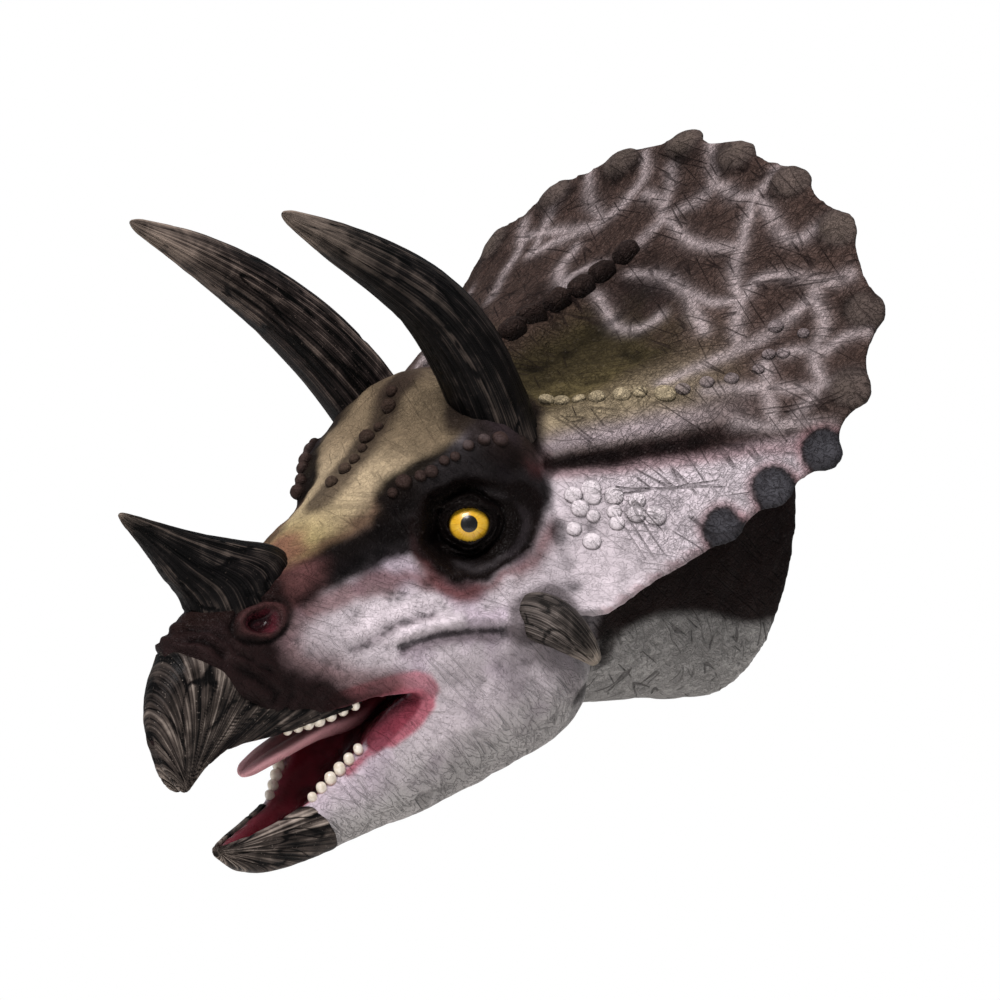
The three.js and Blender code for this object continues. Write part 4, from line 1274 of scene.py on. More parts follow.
@dataclass
class Horns:
    """Brow, nose and cheek horns, grooved along their length."""

    brow_path: Sequence = ((60, -44, 80), (65, -37, 113), (74, -17, 162), (81, 12, 207), (81, 44, 241), (80, 84, 276),
                           (82, 128, 311))
    brow_radii: Sequence[float] = (31, 29.5, 28, 24.5, 20.5, 14, 4)
    nose_front: Sequence = ((238, 36), (241, 58), (252, 81), (261, 101), (271, 121), (277, 132), (278, 138))
    nose_back: Sequence = ((136, 36), (143, 62), (179, 83), (210, 99), (243, 119), (263, 132), (275, 139))
    nose_half: Sequence[float] = (29, 27, 21, 15.5, 9.5, 4.5, 2)
    cheek_path: Sequence = ((92, 17, -34), (112, 15, -37), (129, 12, -45), (143, 6, -63), (151, 2, -79))
    cheek_radii: Sequence[float] = (15, 18, 18, 12, 4)

    def build(self, dark: bpy.types.Material, brown: bpy.types.Material, pale: bpy.types.Material) -> None:
        """Makes the five horns.

        Args:
            dark: finish of the left brow horn and the nose horn.
            brown: finish of the right brow horn, a paler, browner copy of the dark one as painted light on that side.
            pale: finish of the cheek horns.
        """
        for side in Side:
            name = side.name.lower()
            rings, way = horn_rings(placed(self.brow_path, side), self.brow_radii, 230, 120)
            self._grooved(f"browhorn_{name}", f"brow_horn_{name}", rings, way, 26, 1.5, 0.86, 11 + side.value,
                          dark if side is Side.LEFT else brown)
            rings, way = horn_rings(placed(self.cheek_path, side), self.cheek_radii, 90, 84)
            self._grooved(f"cheekhorn_{name}", f"cheek_horn_{name}", rings, way, 20, 0.9, 0.8, 31 + side.value, pale)
        rings, way = self._nose()
        self._grooved("nosehorn", "nose_horn", rings, way, 28, 1.2, 0.78, 51, dark)

    def _nose(self) -> tuple[np.ndarray, np.ndarray]:
        """Ovals between the front and the back edge, as wide as the half width keyed along the horn."""
        t = np.linspace(0, 1, 150)
        edge = [placed([(0, *row) for row in rows]) for rows in (self.nose_front, self.nose_back)]
        fore, aft = (through(e, t) for e in edge)
        half = keyed(list(zip(np.linspace(0, 1, len(self.nose_half)), self.nose_half)), t)
        middle = (fore + aft) / 2
        cap = np.sqrt(np.maximum(1 - np.clip((t - 0.97) / 0.03, 0, 1) ** 2, 0.001))[:, None]
        angle = np.arange(120) / 120 * 2 * np.pi
        first = (fore - middle) * cap
        second = np.stack([half, half * 0, half * 0], 1) * cap
        spoke = np.cos(angle)[None, :, None] * first[:, None] + np.sin(angle)[None, :, None] * second[:, None]
        return middle[:, None] + spoke, unit(spoke)

    def _grooved(self, name: str, node: str, rings: np.ndarray, way: np.ndarray, lines: int, depth: float,
                 tip_from: float, seed: int, material: bpy.types.Material) -> None:
        """Cuts grooves into a horn by its groove height, shallower at the thin end, and dresses it."""
        n, m = rings.shape[:2]
        v, u = np.meshgrid(np.linspace(0, 1, n), np.arange(m) / m, indexing="ij")
        groove = grooves(u, v, lines, seed)
        wave = 0.5 * patchy(u, v, (3, 12), seed + 7) + 0.5 * patchy(u, v, (2, 30), seed + 8) - 0.5
        lift = (groove - 0.75) * depth * (1 - 0.55 * v) + 1.1 * wave * (1 - 0.7 * v)
        shape = tube(rings + way * lift[..., None])
        tip = fade(v + 0.12 * (patchy(u, v, (7, 9), seed + 9) - 0.5), tip_from - 0.5, tip_from + 0.3) ** 2
        pad = [0.5, 0.5]
        marks = {"groove": np.concatenate([groove.ravel(), pad]), "tip": np.concatenate([tip.ravel(), pad])}
        settle(mesh_of(name, shape, marks), material, Slot.HORN, node)


@dataclass
class Beaks:
    """The horny upper and lower beak, sheaths a little proud of the skin and tucked under it at the back."""

    upper_edge: Sequence[float] = (271, 262, 247, 226, 152, 165, 206)
    lower_edge: Sequence[float] = (204, 200, 197, 190, 180, 176)
    proud: float = 1.1
    thick: float = 3.0

    def build(self, material: bpy.types.Material) -> None:
        """Makes both beaks."""
        self._sheath("beak_upper", "upper_beak", HEAD_LINES, self.upper_edge, 0.0, (289, -69), 71, material)
        self._sheath("beak_lower", "lower_beak", JAW_LINES, self.lower_edge, 0.118, (274, -122), 83, material)

    def _sheath(self, name: str, node: str, lines: Sequence, edge: Sequence[float], start: float,
                focus: tuple[float, float], seed: int, material: bpy.types.Material) -> None:
        """Reads the form from its tip back to the sheath's edge all round, raises it along its normal, cuts grooves
        that run out from the focus near the tip, and closes it on the inside.

        Args:
            name: the piece's name.
            node: the solid that it replaces.
            lines: lines of the form.
            edge: how far back the sheath reaches on each line, as ahead.
            start: where round the section the sheath starts; it ends at one less this.
            focus: ahead and up of the point that the grooves run out from.
            seed: which set of grooves.
            material: the finish.
        """
        around = np.linspace(start, 1 - start, 241)[None]
        s = np.linspace(0, 1, 110)[:, None] ** 1.4
        back = keyed(list(enumerate(edge)), np.minimum(around, 1 - around) * 2 * (len(lines) - 1))
        tip = lines[0][0][0] - 0.05
        ahead = tip + (back - tip) * s
        base = section(lines, ahead, around + 0 * s)
        du = np.gradient(base, axis=1)
        dv = np.gradient(base, axis=0)
        centre = base.mean(1, keepdims=True)
        normal = unit(np.cross(du, dv))
        normal *= np.sign((normal * (base - centre)).sum(-1, keepdims=True).mean((0, 1)))
        reach = np.hypot(-base[..., 1] - focus[0], base[..., 2] - focus[1])
        turn = np.arctan2(focus[0] + base[..., 1], base[..., 2] - focus[1]) / np.pi
        u, v = np.abs(turn) * 0.5, np.clip(reach / 160, 0, 1)
        groove = grooves(u, v, 64, seed)
        lift = (self.proud + (groove - 0.6) * 1.2) * fade(s, 1.0, 0.95) - 1.2 * fade(s, 0.95, 1.0)
        outer = base + normal * lift[..., None]
        inner = base - normal * self.thick
        rings = np.concatenate([outer, inner[:, ::-1]], 1)
        shape = tube(rings)
        flat = [np.concatenate([a, a[:, ::-1]], 1).ravel() for a in (u, v, groove, fade(v, 0.22, 0.0))]
        flat = [np.concatenate([a, a[:1], a[-1:]]) for a in flat]
        corner = np.maximum(shape.faces, 0)
        shape.uv = np.stack([flat[0][corner], flat[1][corner]], -1)
        settle(mesh_of(name, shape, {"groove": flat[2], "tip": flat[3] * 0.35}), material, Slot.HORN, node)


@dataclass(frozen=True)
class Cover:
    """Paint on some points: colour, gloss, how strongly scratches show and how deep the leathery cells are."""

    paint: np.ndarray
    gloss: np.ndarray
    grain: np.ndarray
    hide: np.ndarray

    def marks(self) -> dict[str, np.ndarray]:
        """The paint as values that a mesh carries."""
        return {"paint": self.paint, "gloss": self.gloss, "grain": self.grain, "hide": self.hide}


@dataclass
class Airbrush:
    """The paint scheme: white face, brown patched frill with pale lines, black round eye and snout, red mouth."""

    frill: FrillPlate
    scutes: Scutes
    eye: Eye
    face: str = "d2c8cd"
    patch: str = "4a3b35"
    pale: str = "d6c8c8"
    olive: str = "3a3321"
    neck: str = "211614"
    belly: str = "b2b0ad"
    strokes: Sequence[Stroke] = (
        # Painted shade on the cheek: under its two folds, below the cheek horn and low on the cheek.
        Stroke(((76, 116, -26), (88, 92, -27), (101, 66, -33), (112, 46, -40)), "6d6167", 2.0, 7.0, 0.85),
        Stroke(((58, 146, -15), (70, 120, -10), (84, 88, -11)), "8d8086", 1.0, 6.0, 0.6),
        Stroke(((112, 10, -60), (110, 0, -80), (100, -10, -100)), "8a8084", 8.0, 16.0, 0.55),
        Stroke(((108, 40, -48), (104, 44, -62), (100, 50, -76)), "a69ca2", 6.0, 16.0, 0.6),
        Stroke(((44, 165, 24), (56, 116, 24), (66, 88, 20), (78, 70, 8), (92, 52, -6)), "6b3f3f", 3.0, 11.0, 0.75),
        Stroke(((32, 180, 50), (40, 132, 57), (49, 88, 66), (54, 64, 80)), "4f362d", 8.0, 16.0, 0.85),
        Stroke(((33, 196, 42), (41, 150, 44), (50, 108, 48), (59, 82, 48), (66, 68, 44), (76, 60, 24)),
               "0a0707", 11.0, 9.0, 0.98),
        Stroke(((0, 186, 58), (0, 150, 63)), "7d5246", 17.0, 24.0, 0.85),
        Stroke(((46, 168, -50), (58, 150, -50), (69, 131, -49), (77, 117, -53), (80, 108, -61), (76, 110, -70),
                (66, 122, -80), (57, 134, -87)), "c06e7d", 7.0, 4.5, 0.97),
        Stroke(((68, 118, -66), (58, 130, -77), (50, 141, -86)), "7d3341", 8.0, 4.0, 0.97),
        Stroke(((62, 140, -45), (72, 124, -45), (81, 108, -54), (82, 104, -64)), "c48f9a", 2.5, 6.0, 0.75),
        Stroke(((57, 134, -87), (46, 150, -95), (38, 165, -103)), "8f4a58", 2.5, 4.0, 0.9),
        Stroke(((53, 60, 78), (70, 32, 82), (82, 10, 82), (91, -9, 70), (97, -28, 48)), "080505", 14.0, 11.0, 0.97),
        Stroke(((56, 80, 57), (63, 66, 58), (72, 54, 52)), "080505", 11.0, 8.0, 0.97),
        Stroke(((93, -39, 66), (95, -48, 62)), "4a2c2c", 6.0, 10.0, 0.7),
        # Painted shade in the groove behind the jaw.
        Stroke(((97, -20, -114), (80, -62, -116), (64, -86, -112), (76, -90, -92)), "2c2523", 4.0, 8.0, 0.75),
        Stroke(((118, 26, -36), (126, 4, -34)), "4d4546", 15.0, 8.0, 0.8),
        Stroke(((66, -40, 100), (64, -30, 92)), "221a18", 35.0, 12.0, 0.92),
        Stroke(((0, 90, 84), (0, 40, 104), (0, 10, 118), (0, -20, 138), (0, -60, 132)), "3d322a", 8.0, 13.0, 0.85),
        Stroke(((0, -22, 120), (20, -34, 116), (40, -40, 110)), "3d322a", 16.0, 12.0, 0.95),
    )
    lines: Sequence[Sequence[tuple[float, float]]] = (
        ((0.055, 0.995), (0.075, 0.943), (0.095, 0.892), (0.085, 0.857), (0.055, 0.822), (0.035, 0.796),
         (0.015, 0.736), (0, 0.692)),
        ((0.095, 0.892), (0.15, 0.892), (0.18, 0.909), (0.19, 0.943), (0.19, 0.978)),
        ((0.18, 0.909), (0.195, 0.857), (0.22, 0.796), (0.245, 0.744), (0.29, 0.701), (0.33, 0.675),
         (0.385, 0.641), (0.41, 0.632), (0.42, 0.563), (0.425, 0.493), (0.43, 0.407)),
        ((0.035, 0.796), (0.12, 0.744), (0.185, 0.753), (0.225, 0.77)),
        ((0.18, 0.909), (0.245, 0.874), (0.295, 0.874), (0.305, 0.892), (0.31, 0.935), (0.32, 0.969)),
        ((0.33, 0.684), (0.315, 0.727), (0.32, 0.77), (0.345, 0.814), (0.37, 0.866), (0.385, 0.909), (0.39, 0.961)),
        ((0.375, 0.874), (0.395, 0.857), (0.425, 0.857), (0.445, 0.848), (0.47, 0.831), (0.515, 0.866), (0.53, 0.883)),
        ((0.415, 0.632), (0.415, 0.692), (0.405, 0.762), (0.395, 0.831), (0.39, 0.866)),
        ((0.475, 0.857), (0.465, 0.9), (0.465, 0.943), (0.47, 0.978)),
        ((0.48, 0.528), (0.495, 0.632), (0.51, 0.736), (0.525, 0.814), (0.53, 0.9), (0.535, 0.978)),
        ((0.53, 0.866), (0.55, 0.84), (0.575, 0.822)),
        ((0.46, 0.692), (0.505, 0.71), (0.565, 0.744)),
        ((0.56, 0.641), (0.585, 0.753), (0.59, 0.848), (0.605, 0.961)),
        ((0.05, 0.615), (0.09, 0.623), (0.155, 0.623), (0.23, 0.606), (0.285, 0.623), (0.33, 0.675)),
        ((0.23, 0.606), (0.295, 0.571), (0.35, 0.563)),
        ((0.035, 0.502), (0.12, 0.45), (0.185, 0.45), (0.215, 0.493), (0.215, 0.519)),
        ((0.455, 0.744), (0.46, 0.788), (0.47, 0.848)),
        ((-0.01, 0.917), (0.01, 0.857), (0.025, 0.788)),
    )
    far_lines: Sequence[Sequence[tuple[float, float]]] = (
        ((-0.065, 0.978), (-0.055, 0.926), (-0.07, 0.874), (-0.11, 0.822), (-0.15, 0.805),
         (-0.185, 0.805), (-0.245, 0.805)),
        ((-0.16, 0.987), (-0.15, 0.9), (-0.12, 0.831)),
        ((-0.04, 0.866), (0.015, 0.814)),
        ((-0.205, 0.961), (-0.22, 0.909), (-0.245, 0.805)),
        ((-0.27, 0.952), (-0.27, 0.857), (-0.3, 0.779), (-0.315, 0.701)),
        ((-0.27, 0.892), (-0.185, 0.831), (-0.12, 0.805)),
        ((-0.15, 0.762), (-0.16, 0.684), (-0.105, 0.571)),
        ((-0.065, 0.666), (-0.1, 0.658), (-0.125, 0.623)),
    )

    def cover(self, points: np.ndarray) -> Cover:
        """Paints points in the order of the real coats: ground colours, frill, strokes, then eye and mouth.

        Args:
            points: points of the head's frame.

        Returns:
            Their paint.
        """
        self._sway = cloudy(points, 22.0, 21) - 0.5
        self._paint = np.tile(linear(self.face), (len(points), 1))
        self._hide = np.full(len(points), 0.3)
        self._gloss = np.full(len(points), 0.2)
        self._grain = np.ones(len(points))
        folded = points.copy()
        folded[:, 0] = np.abs(folded[:, 0])
        ahead, up = -points[:, 1], points[:, 2]
        across, out, height = self.frill.coordinates(points)
        self._ground(folded, ahead, up)
        self._frill(np.abs(across), out, height)
        self._forehead(folded, ahead, up)
        for stroke in self.strokes:
            reach = stroke.width + stroke.soft
            far = away(folded, placed(stroke.line), reach * 1.6) + self._sway * stroke.soft * 1.1
            self._lay(fade(far, reach, stroke.width) * stroke.strength, stroke.colour)
        self._muzzle(folded, ahead, up)
        self._pale_lines(points, height)
        self._caps(points)
        self._round_eye(folded)
        self._mouth(folded, ahead, up)
        light = 0.9 + 0.5 * (cloudy(points, 34.0, 22) - 0.5) + 0.35 * (cloudy(points, 8.0, 23) - 0.5)
        self._paint *= np.clip(light, 0.5, 1.15)[:, None]
        return Cover(self._paint, self._gloss, self._grain, self._hide)

    def shade_hollows_light_ridges(self, skin: Shape, cover: Cover) -> None:
        """Painted shade and highlight: darkens hollows and lightens ridges, by how far a vertex lies under the mean of
        those about it.

        Args:
            skin: the skin.
            cover: its paint, which is changed.
        """
        soft = skin.points
        for _ in range(5):
            soft = skin.neighbour_mean(soft)
        hollow = skin.neighbour_mean(((soft - skin.points) * skin.normals()).sum(1, keepdims=True))[:, 0]
        # Painted shade in the hollows, painted highlight on the ridges.
        cover.paint[:] *= (1 - 0.7 * fade(hollow, 0.12, 0.7) + 0.22 * fade(hollow, -0.1, -0.9))[:, None]

    def _lay(self, mask: np.ndarray, colour: str) -> None:
        """Covers by a share with a colour."""
        self._paint += mask[:, None] * (linear(colour) - self._paint)

    def _ground(self, folded: np.ndarray, ahead: np.ndarray, up: np.ndarray) -> None:
        """Neck brown above and grey below a line, and a grey underside to the jaw."""
        edge = keyed(((-300, -150), (-230, -137), (-176, -108), (-126, -93), (-79, -95), (-40, -100)), ahead)
        behind = fade(ahead + 20 * self._sway, -56, -80)
        self._lay(fade(ahead, 20, -20) * fade(up, 50, 72), "43362e")
        self._lay(behind, self.neck)
        self._hide += behind * 0.6
        self._lay((1 - behind) * fade(cloudy(folded, 30.0, 24), 0.5, 0.7) * 0.5, "b3a0b2")
        self._lay(behind * fade(up, edge + 5, edge - 7) * 0.9, self.belly)
        keel = keyed(((183, -146), (136, -136), (95, -134), (58, -124), (1, -114), (-60, -104)), ahead)
        self._lay((1 - behind) * fade(up + 24 * self._sway, keel + 52, keel - 8) * 0.85, self.belly)
        self._grain -= 0.6 * (1 - behind) * fade(up, keel - 5, keel + 40)

    def _frill(self, reach: np.ndarray, out: np.ndarray, height: np.ndarray) -> None:
        """Brown patches, white below the dark band, a lilac stripe, tan ridge and olive basin; brown behind."""
        on = fade(height, -11, -6) * fade(out, -0.02, 0.06)
        back = fade(height, -5, -9) * fade(height, -60, -45) * fade(out, 0.05, 0.15) * fade(reach, 0.99, 0.95)
        self._lay(back, "453a34")
        self._lay(on, self.patch)
        self._hide += on * fade(reach, 0.62, 0.56) * 0.45
        reach = reach + 0.02 * self._sway
        basin = fade(reach, 0.0, 0.08) * fade(reach, 0.44, 0.3) * fade(out + 0.25 * self._sway, 0.6, 0.42)
        self._lay(on * hump(reach, 0.46, 0.09) * fade(out, 0.7, 0.35), "8d8068")
        self._lay(on * basin, self.olive)
        self._lay(on * hump(reach, 0.33, 0.08) * hump(out, 0.2, 0.16) * 0.8, "6b6040")
        self._lay(on * hump(reach, 0.12, 0.1) * hump(out, 0.58, 0.08) * 0.9, "1d1716")
        self._hide -= on * (basin * 0.5 + hump(reach, 0.5, 0.08) * 0.4)
        self._lay(on * fade(reach, 0.6, 0.64), self.face)
        self._lay(on * hump(reach, 0.535, 0.03) * fade(out, 0.75, 0.35) * 0.85, "b5a8ac")
        # The dark band along the groove under the side ridge: dark paint, with painted shade in the groove.
        self._lay(on * fade(reach, 0.545, 0.58) * fade(reach, 0.645, 0.605) * fade(out, 0.95, 0.5) * 0.95, "241818")
        self._lay(on * hump(reach, 0.635, 0.018) * 0.55, "8a5f63")
        self._lay(on * fade(reach, 0.6, 0.64) * fade(out, 0.86, 1.0) * 0.5, "8f6468")

    def _forehead(self, folded: np.ndarray, ahead: np.ndarray, up: np.ndarray) -> None:
        """Olive tan between the two roof edges, yellower near the nose."""
        edge = keyed(((190, 29), (176, 33), (129, 42), (86, 52), (63, 58), (20, 74), (-40, 74)), ahead)
        roof = fade(folded[:, 0], edge + 3, edge - 6) * fade(ahead, -45, -20) * fade(up, 36, 46)
        self._hide += roof * 0.5
        self._lay(roof, "b3a183")
        self._lay(roof * hump(ahead, 140, 38) * 0.7, "a8985c")
        self._lay(roof * fade(ahead, 60, 20) * 0.7, "6e5e4a")

    def _muzzle(self, folded: np.ndarray, ahead: np.ndarray, up: np.ndarray) -> None:
        """Black-brown from the beak back to an edge that leans along the lip, with maroon before the white face, and
        red nostrils with a dark rim."""
        back = keyed(((-60, 132), (-44, 142), (-34, 158), (-20, 180), (-5, 190), (10, 192), (25, 184),
                      (36, 168), (48, 160)), up)
        roof = fade(up, -58, -50) * fade(up, 58, 50)
        edge = ahead - back + 26 * self._sway
        self._lay(roof * fade(edge, -38, -2) * 0.8, "6b4746")
        self._lay(roof * fade(edge, -6, 18) * 0.97, "1a0e0d")
        hole = np.linalg.norm((folded - placed([NOSTRIL])[0]) / NOSTRIL_SIZE, axis=1) + 1.0 * self._sway
        self._lay(fade(hole, 2.2, 1.6) * 0.85, "1d1413")
        self._lay(hump(hole, 1.3, 0.2) * 0.6, "4d3030")
        self._lay(fade(hole, 1.15, 0.7) * 0.9, "55212a")
        self._gloss += roof * fade(edge, 0, 18) * 0.25 + fade(hole, 1.3, 0.9) * 0.3

    def _pale_lines(self, points: np.ndarray, height: np.ndarray) -> None:
        """Soft pale lines over the frill's front: those seen on the left, and on the right those seen there."""
        mirrored = [[(-a, o) for a, o in line] for line in self.lines if line[-1][0] > 0.46]
        far = np.full(len(points), 24.0)
        for line in [*self.lines, *self.far_lines, *mirrored]:
            a, o = np.array(line).T
            t = np.linspace(0, 1, 4 * len(line))
            curve = through(np.stack([a, o, a * 0], 1), t)
            far = np.minimum(far, away(points, self.frill.face(curve[:, 0], curve[:, 1])[0], 24.0))
        far = far + 7.0 * self._sway
        on = fade(height, -7, -3) * np.clip(0.8 + 1.2 * self._sway, 0.4, 1.0)
        self._hide -= on * hump(far, 0, 9.0) * 0.35
        self._lay(on * (0.5 * hump(far, 0, 4.6) + 0.2 * hump(far, 0, 9.0)), self.pale)

    def _caps(self, points: np.ndarray) -> None:
        """Brown caps on the upper rim and dark grey ones with a pink edge on the lower."""
        for middle, axes, across in zip(*self.scutes.middles()):
            far = np.linalg.norm(((points - middle) @ axes.T) / (np.array(self.scutes.size) + 1.0), axis=1)
            low = abs(across) > 0.62
            self._hide *= 1 - 0.6 * fade(far, 1.25, 1.0)
            self._lay(fade(far, 1.6, 1.1) * 0.55, "8a5a5e" if low else "453b37")
            self._lay(fade(far, 1.22, 1.1) * (0.95 if low else 0.4), "1c1a1a")
            self._lay(fade(far, 1.12, 0.98) * 0.9, "3b3b3f" if low else "524843")
            self._lay(fade(far, 0.95, 0.7) * 0.5, "515156" if low else "62584f")

    def _round_eye(self, folded: np.ndarray) -> None:
        """Black about the eye, out to a leaning oval, with a maroon blush beyond it."""
        middle, axes = self.eye.frame(Side.LEFT)
        p, q, h = ((folded - middle) @ axes.T).T
        oval = np.hypot((p - 4) / np.where(p < 4, 52, 55), (q - 0.12 * p) / np.where(q > 0.12 * p, 36, 44))
        oval = oval + 0.35 * self._sway
        near = fade(h, -45, -25) * fade(h, 60, 45)
        self._lay(near * hump(oval, 1.05, 0.16) * fade(q, 12, -6) * fade(p, -46, -30) * 0.8, "5f3434")
        black = near * fade(oval, 1.05, 0.86)
        self._lay(black * hump(oval, 0.85, 0.3), "0e0706")
        self._lay(black * fade(oval, 0.95, 0.6), "0b0706")
        self._gloss += black * 0.3
        self._grain *= 1 - black * 0.4
        self._hide += black * 0.3

    def _mouth(self, folded: np.ndarray, ahead: np.ndarray, up: np.ndarray) -> None:
        """Deep red inside: between the palate and the floor, within the inner lips."""
        def track(line: Sequence, column: int) -> np.ndarray:
            """One line's left or up at each point's station."""
            return keyed([(k[0], k[column]) for k in line], ahead)

        roof, floor = track(HEAD_LINES[6], 2), track(JAW_LINES[0], 2)
        wide = np.where(up > (roof + floor) / 2, track(HEAD_LINES[5], 1), track(JAW_LINES[1], 1)) + 2.5
        inside = (fade(folded[:, 0], wide + 1.5, wide - 1.5) * fade(up, floor - 5, floor - 2)
                  * fade(up, roof + 8, roof + 4) * fade(ahead, 52, 66) * fade(ahead, 276, 270))
        self._lay(inside, "57121d")
        self._lay(inside * fade(folded[:, 0], wide - 9, wide - 2) * 0.6, "8d4350")
        # Painted shade: darker towards the back of the mouth.
        self._lay(inside * fade(ahead, 150, 90) * 0.7, "2c080d")
        self._gloss = self._gloss * (1 - inside) + 0.95 * inside
        self._grain *= 1 - inside
        self._hide *= 1 - inside


@dataclass
class Knobs:
    """Raised scales on the skin: rows on the crest, forehead and brow, and studs on the frill's ridge and cheek."""

    around: int = 18
    down: int = 11
    block_from: float = 9.0
    yellow_studs: int = 7
    crest: Sequence = tuple((0.0, o) for o in (0.17, 0.25, 0.33, 0.41, 0.49, 0.57, 0.65))
    forehead: Sequence = ((0, 74, 89), (0, 62, 93), (0, 50, 97), (0, 38, 102), (0, 27, 107), (0, 16, 113),
                          (0, 4, 122), (0, -8, 131))
    brow: Sequence = ((50, 62, 75), (55, 54, 80), (62, 47, 83), (69, 40, 86), (75, 31, 90), (80, 22, 93), (84, 12, 94),
                      (87, 1, 92), (88, -9, 88))
    ridge: Sequence = ((0.33, 0.11), (0.36, 0.147), (0.39, 0.19), (0.415, 0.242), (0.43, 0.294), (0.445, 0.346),
                       (0.46, 0.407), (0.46, 0.459), (0.46, 0.528), (0.47, 0.597), (0.47, 0.675), (0.445, 0.701),
                       (0.45, 0.736), (0.435, 0.805), (0.405, 0.744))
    cheek: Sequence = ((0.705, 0.156), (0.725, 0.242), (0.76, 0.338), (0.78, 0.433), (0.795, 0.537), (0.745, 0.2),
                       (0.77, 0.27), (0.69, 0.22), (0.71, 0.31), (0.74, 0.41), (0.85, 0.3), (0.81, 0.2), (0.8, 0.37))

    def build(self, skin: Shape, brush: Airbrush, material: bpy.types.Material) -> None:
        """Sets the scales on the skin: each is a lump at the nearest vertex, squared to its normal, painted like it,
        with painted shade towards its foot.

        Args:
            skin: the skin.
            brush: the paint scheme.
            material: the skin's finish.
        """
        def on_frill(rows: Sequence) -> np.ndarray:
            """Points of the frill on both sides."""
            a, o = np.array(rows).T
            return np.concatenate([brush.frill.face(s * a, o)[0] for s in (1, -1)])

        def on_head(rows: Sequence) -> np.ndarray:
            """Points of the head on both sides."""
            return np.concatenate([placed(rows, side) for side in Side])

        crest = brush.frill.face(*np.array(self.crest).T)[0]
        groups = [(crest, 12.0, 10.0, "1a1413"), (placed(self.forehead), 5.8, 5.5, "3a2c27"),
                  (on_head(self.brow), 5.6, 5.2, "43342f"),
                  (on_frill(self.ridge[:self.yellow_studs]), 7.2, 4.4, "b9ab8c"),
                  (on_frill(self.ridge[self.yellow_studs:]), 6.6, 4.0, "8f8485"),
                  (on_frill(self.cheek), 7.0, 4.2, "ece4e7")]
        normal = skin.normals()
        shapes, covers = [], []
        rng = np.random.default_rng(5)
        each = self.around * self.down + 2
        for places, wide, tall, colour in groups:
            block = wide > self.block_from
            places = places + rng.uniform(-1.5, 1.5, places.shape) * (not block)
            spot = np.array([np.linalg.norm(skin.points - p, axis=1).argmin() for p in places])
            up = normal[spot]
            row = np.gradient(places, axis=0) if block else np.cross(up, [0.3, 0.2, 0.9])
            first = unit(row - up * (row * up).sum(1, keepdims=True))
            axes = np.stack([first, np.cross(up, first), up], 1)
            scale = np.ones((len(spot), 1)) if block else rng.uniform(0.72, 1.2, (len(spot), 1))
            sizes = np.tile([wide, wide * (0.62 if block else 0.92), tall], (len(spot), 1)) * scale
            shape = lumps(skin.points[spot], axes, sizes, self.around, self.down, 0.55 if block else 0.9)
            cover = brush.cover(shape.points)
            above = shape.points - np.repeat(skin.points[spot], each, axis=0)
            rise = (above * np.repeat(up, each, axis=0)).sum(1) / tall
            # Painted shade: each scale is darker towards its foot.
            shade = 0.35 + 0.65 * fade(rise, 0.05, 0.6)
            cover.paint[:] = (0.35 * cover.paint + 0.65 * linear(colour)) * shade[:, None]
            shapes.append(shape)
            covers.append(cover.marks())
        marks = {key: np.concatenate([c[key] for c in covers]) for key in covers[0]}
        settle(mesh_of("raised_scales", joined(shapes), marks), material, Slot.HIDE)


@dataclass(frozen=True)
class Enamel:
    """Glossy off-white teeth, stained towards the gum."""

    name: str = "tooth_enamel"

    def make(self) -> bpy.types.Material:
        """Builds the material: cloudy cream with a warm stain."""
        b = Board(self.name)
        cloud = b.noise(b.place(), 260.0, 4.0)
        height = b.wire("ShaderNodeSeparateXYZ", {}, {"Vector": b.along((1, 1, 1))}, "Y")
        colour = b.ramp(cloud, [(0.3, linear("cfc4ae")), (0.7, linear("efe9dd"))])
        colour = b.blend(b.step(height, 0.5, 0.85) * 0.7, colour, ink("9a5a52"))
        return b.close(colour, b.step(cloud, 0.3, 0.7, 0.2, 0.34), b.bump(cloud, 0.0004, 0.5), Coat_Weight=0.5)


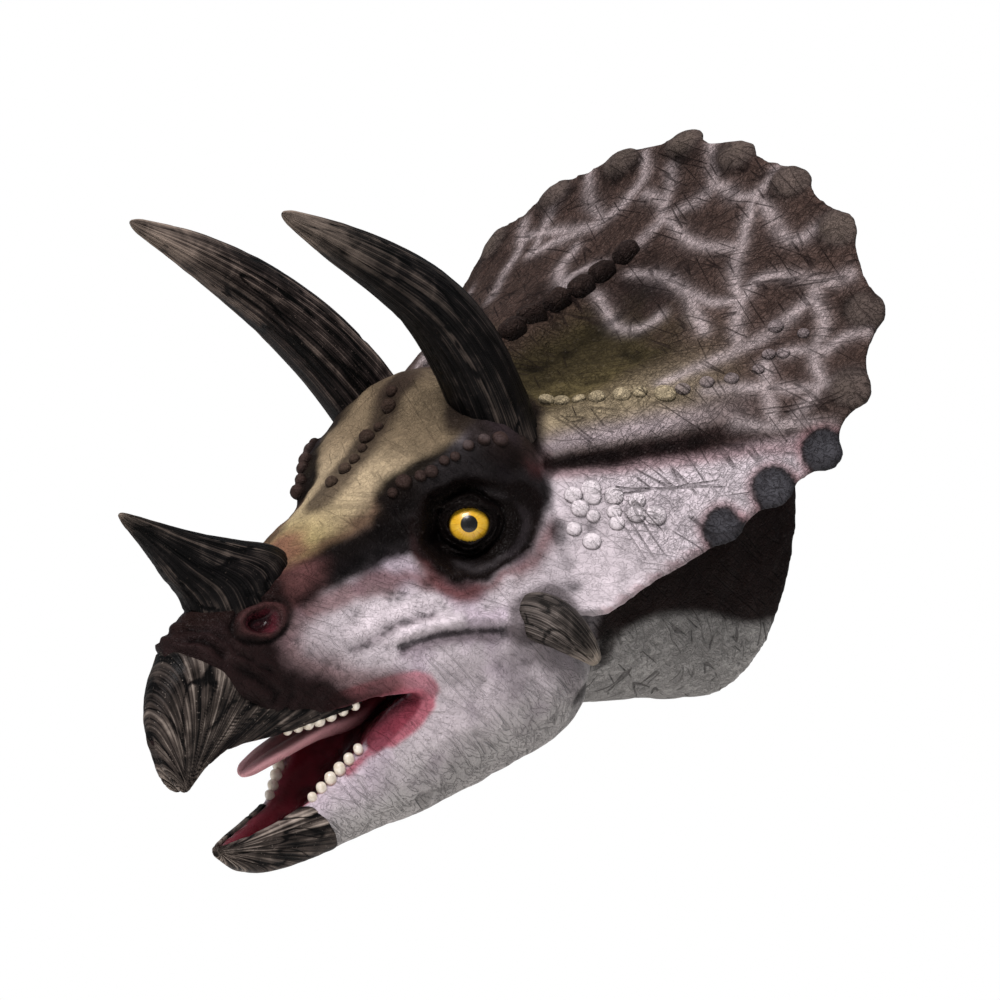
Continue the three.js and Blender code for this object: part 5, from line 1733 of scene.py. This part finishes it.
@dataclass
class Mouth:
    """Teeth and tongue."""

    upper: Sequence = ((26, 201, -56), (36, 178, -57), (50, 153, -55))
    lower: Sequence = ((23, 192, -113), (31, 172, -102), (41, 153, -90))
    tongue: Sequence = ((0, 92, -74), (0, 120, -80), (0, 160, -76), (0, 200, -77), (0, 233, -80))
    half: Sequence[float] = (19, 20, 19, 16, 9)
    thick: Sequence[float] = (8, 8, 7, 6, 4)

    def build(self, enamel: bpy.types.Material, flesh: bpy.types.Material) -> None:
        """Makes both rows of teeth and the tongue.

        Args:
            enamel: finish of the teeth.
            flesh: finish of the tongue.
        """
        for name, row, count, size, tall, sign in (("teeth_upper", self.upper, 7, 4.6, 1.15, -1.0),
                                                    ("teeth_lower", self.lower, 6, 4.5, 1.25, 1.0)):
            t = np.linspace(0, 1, count)
            middle = np.concatenate([through(placed(row, side), t) for side in Side])
            scale = size * (1 - 0.22 * np.abs(2 * np.tile(t, 2) - 1))[:, None]
            axes = np.tile([[1.0, 0, 0], [0, 1, 0], [0, 0, sign]], (len(middle), 1, 1))
            shape = lumps(middle, axes, scale * [0.95, 1.0, tall], 24, 16, 0.85)
            settle(mesh_of(name, shape), enamel, Slot.MOUTH)
        self._tongue(flesh)

    def _tongue(self, flesh: bpy.types.Material) -> None:
        """Ovals along the tongue's path, cupped on top with a furrow down the middle and rounded at the tip."""
        t = np.linspace(0, 1, 90)
        middle = through(placed(self.tongue), t)
        keys = np.linspace(0, 1, len(self.half))
        half, thick = (keyed(list(zip(keys, row)), t)[:, None] for row in (self.half, self.thick))
        round_off = np.sqrt(np.maximum(1 - np.clip((t - 0.9) / 0.1, 0, 1) ** 2, 0.003))[:, None]
        angle = np.arange(64)[None] / 64 * 2 * np.pi
        side = np.cos(angle)
        rise = np.sin(angle) + 0.55 * side ** 2 - 0.35 * hump(side, 0, 0.25) * (np.sin(angle) > 0)
        ring = np.stack([half * round_off * side, np.zeros_like(half * side), thick * round_off * rise], -1)
        shape = tube(middle[:, None] + ring)
        n = len(shape.points)
        along = np.concatenate([np.repeat(t, 64), [0, 1]])
        paint = linear("7a2a34") + fade(along, 0.1, 0.55)[:, None] * (linear("dca3a8") - linear("7a2a34"))
        marks = {"paint": paint, "gloss": np.full(n, 0.75), "grain": np.zeros(n), "hide": np.zeros(n)}
        settle(mesh_of("tongue_flesh", shape, marks), flesh, Slot.MOUTH, "tongue")


def main() -> None:
    """Builds the head piece by piece, then the studio."""
    logging.basicConfig(level=logging.INFO, format="%(name)s %(message)s")
    plate, eye = FrillPlate(), Eye()
    scutes = Scutes(plate)
    brush = Airbrush(plate, scutes, eye)
    painted = PaintedSkin().make()
    skin = Skin(plate, scutes, eye).build()
    cover = brush.cover(skin.points)
    # Painted shade in the skin's hollows and painted highlight on its ridges.
    brush.shade_hollows_light_ridges(skin, cover)
    settle(mesh_of("painted_skin", skin, cover.marks()), painted, Slot.HIDE, "head", "lower_jaw", "neck", "frill")
    Knobs().build(skin, brush, painted)
    Eyes(eye).build(EyeFinish().make())
    # The right brow horn's finish is a paler copy of the dark horn: painted light.
    Horns().build(Streaked("dark_horn").make(), Streaked("lit_brown_horn", body="2e2725", high="96867b").make(),
                  Streaked("cheek_horn", deep="1a1816", body="4a4440", high="978d86", tip="b3a696").make())
    Beaks().build(Streaked("beak_horn", deep="0a0909", body="4a423d", high="c9bbae", fine_round=230.0,
                           fine_along=0.7).make())
    Mouth().build(Enamel().make(), painted)
    Studio().build()


if __name__ == "__main__":
    main()
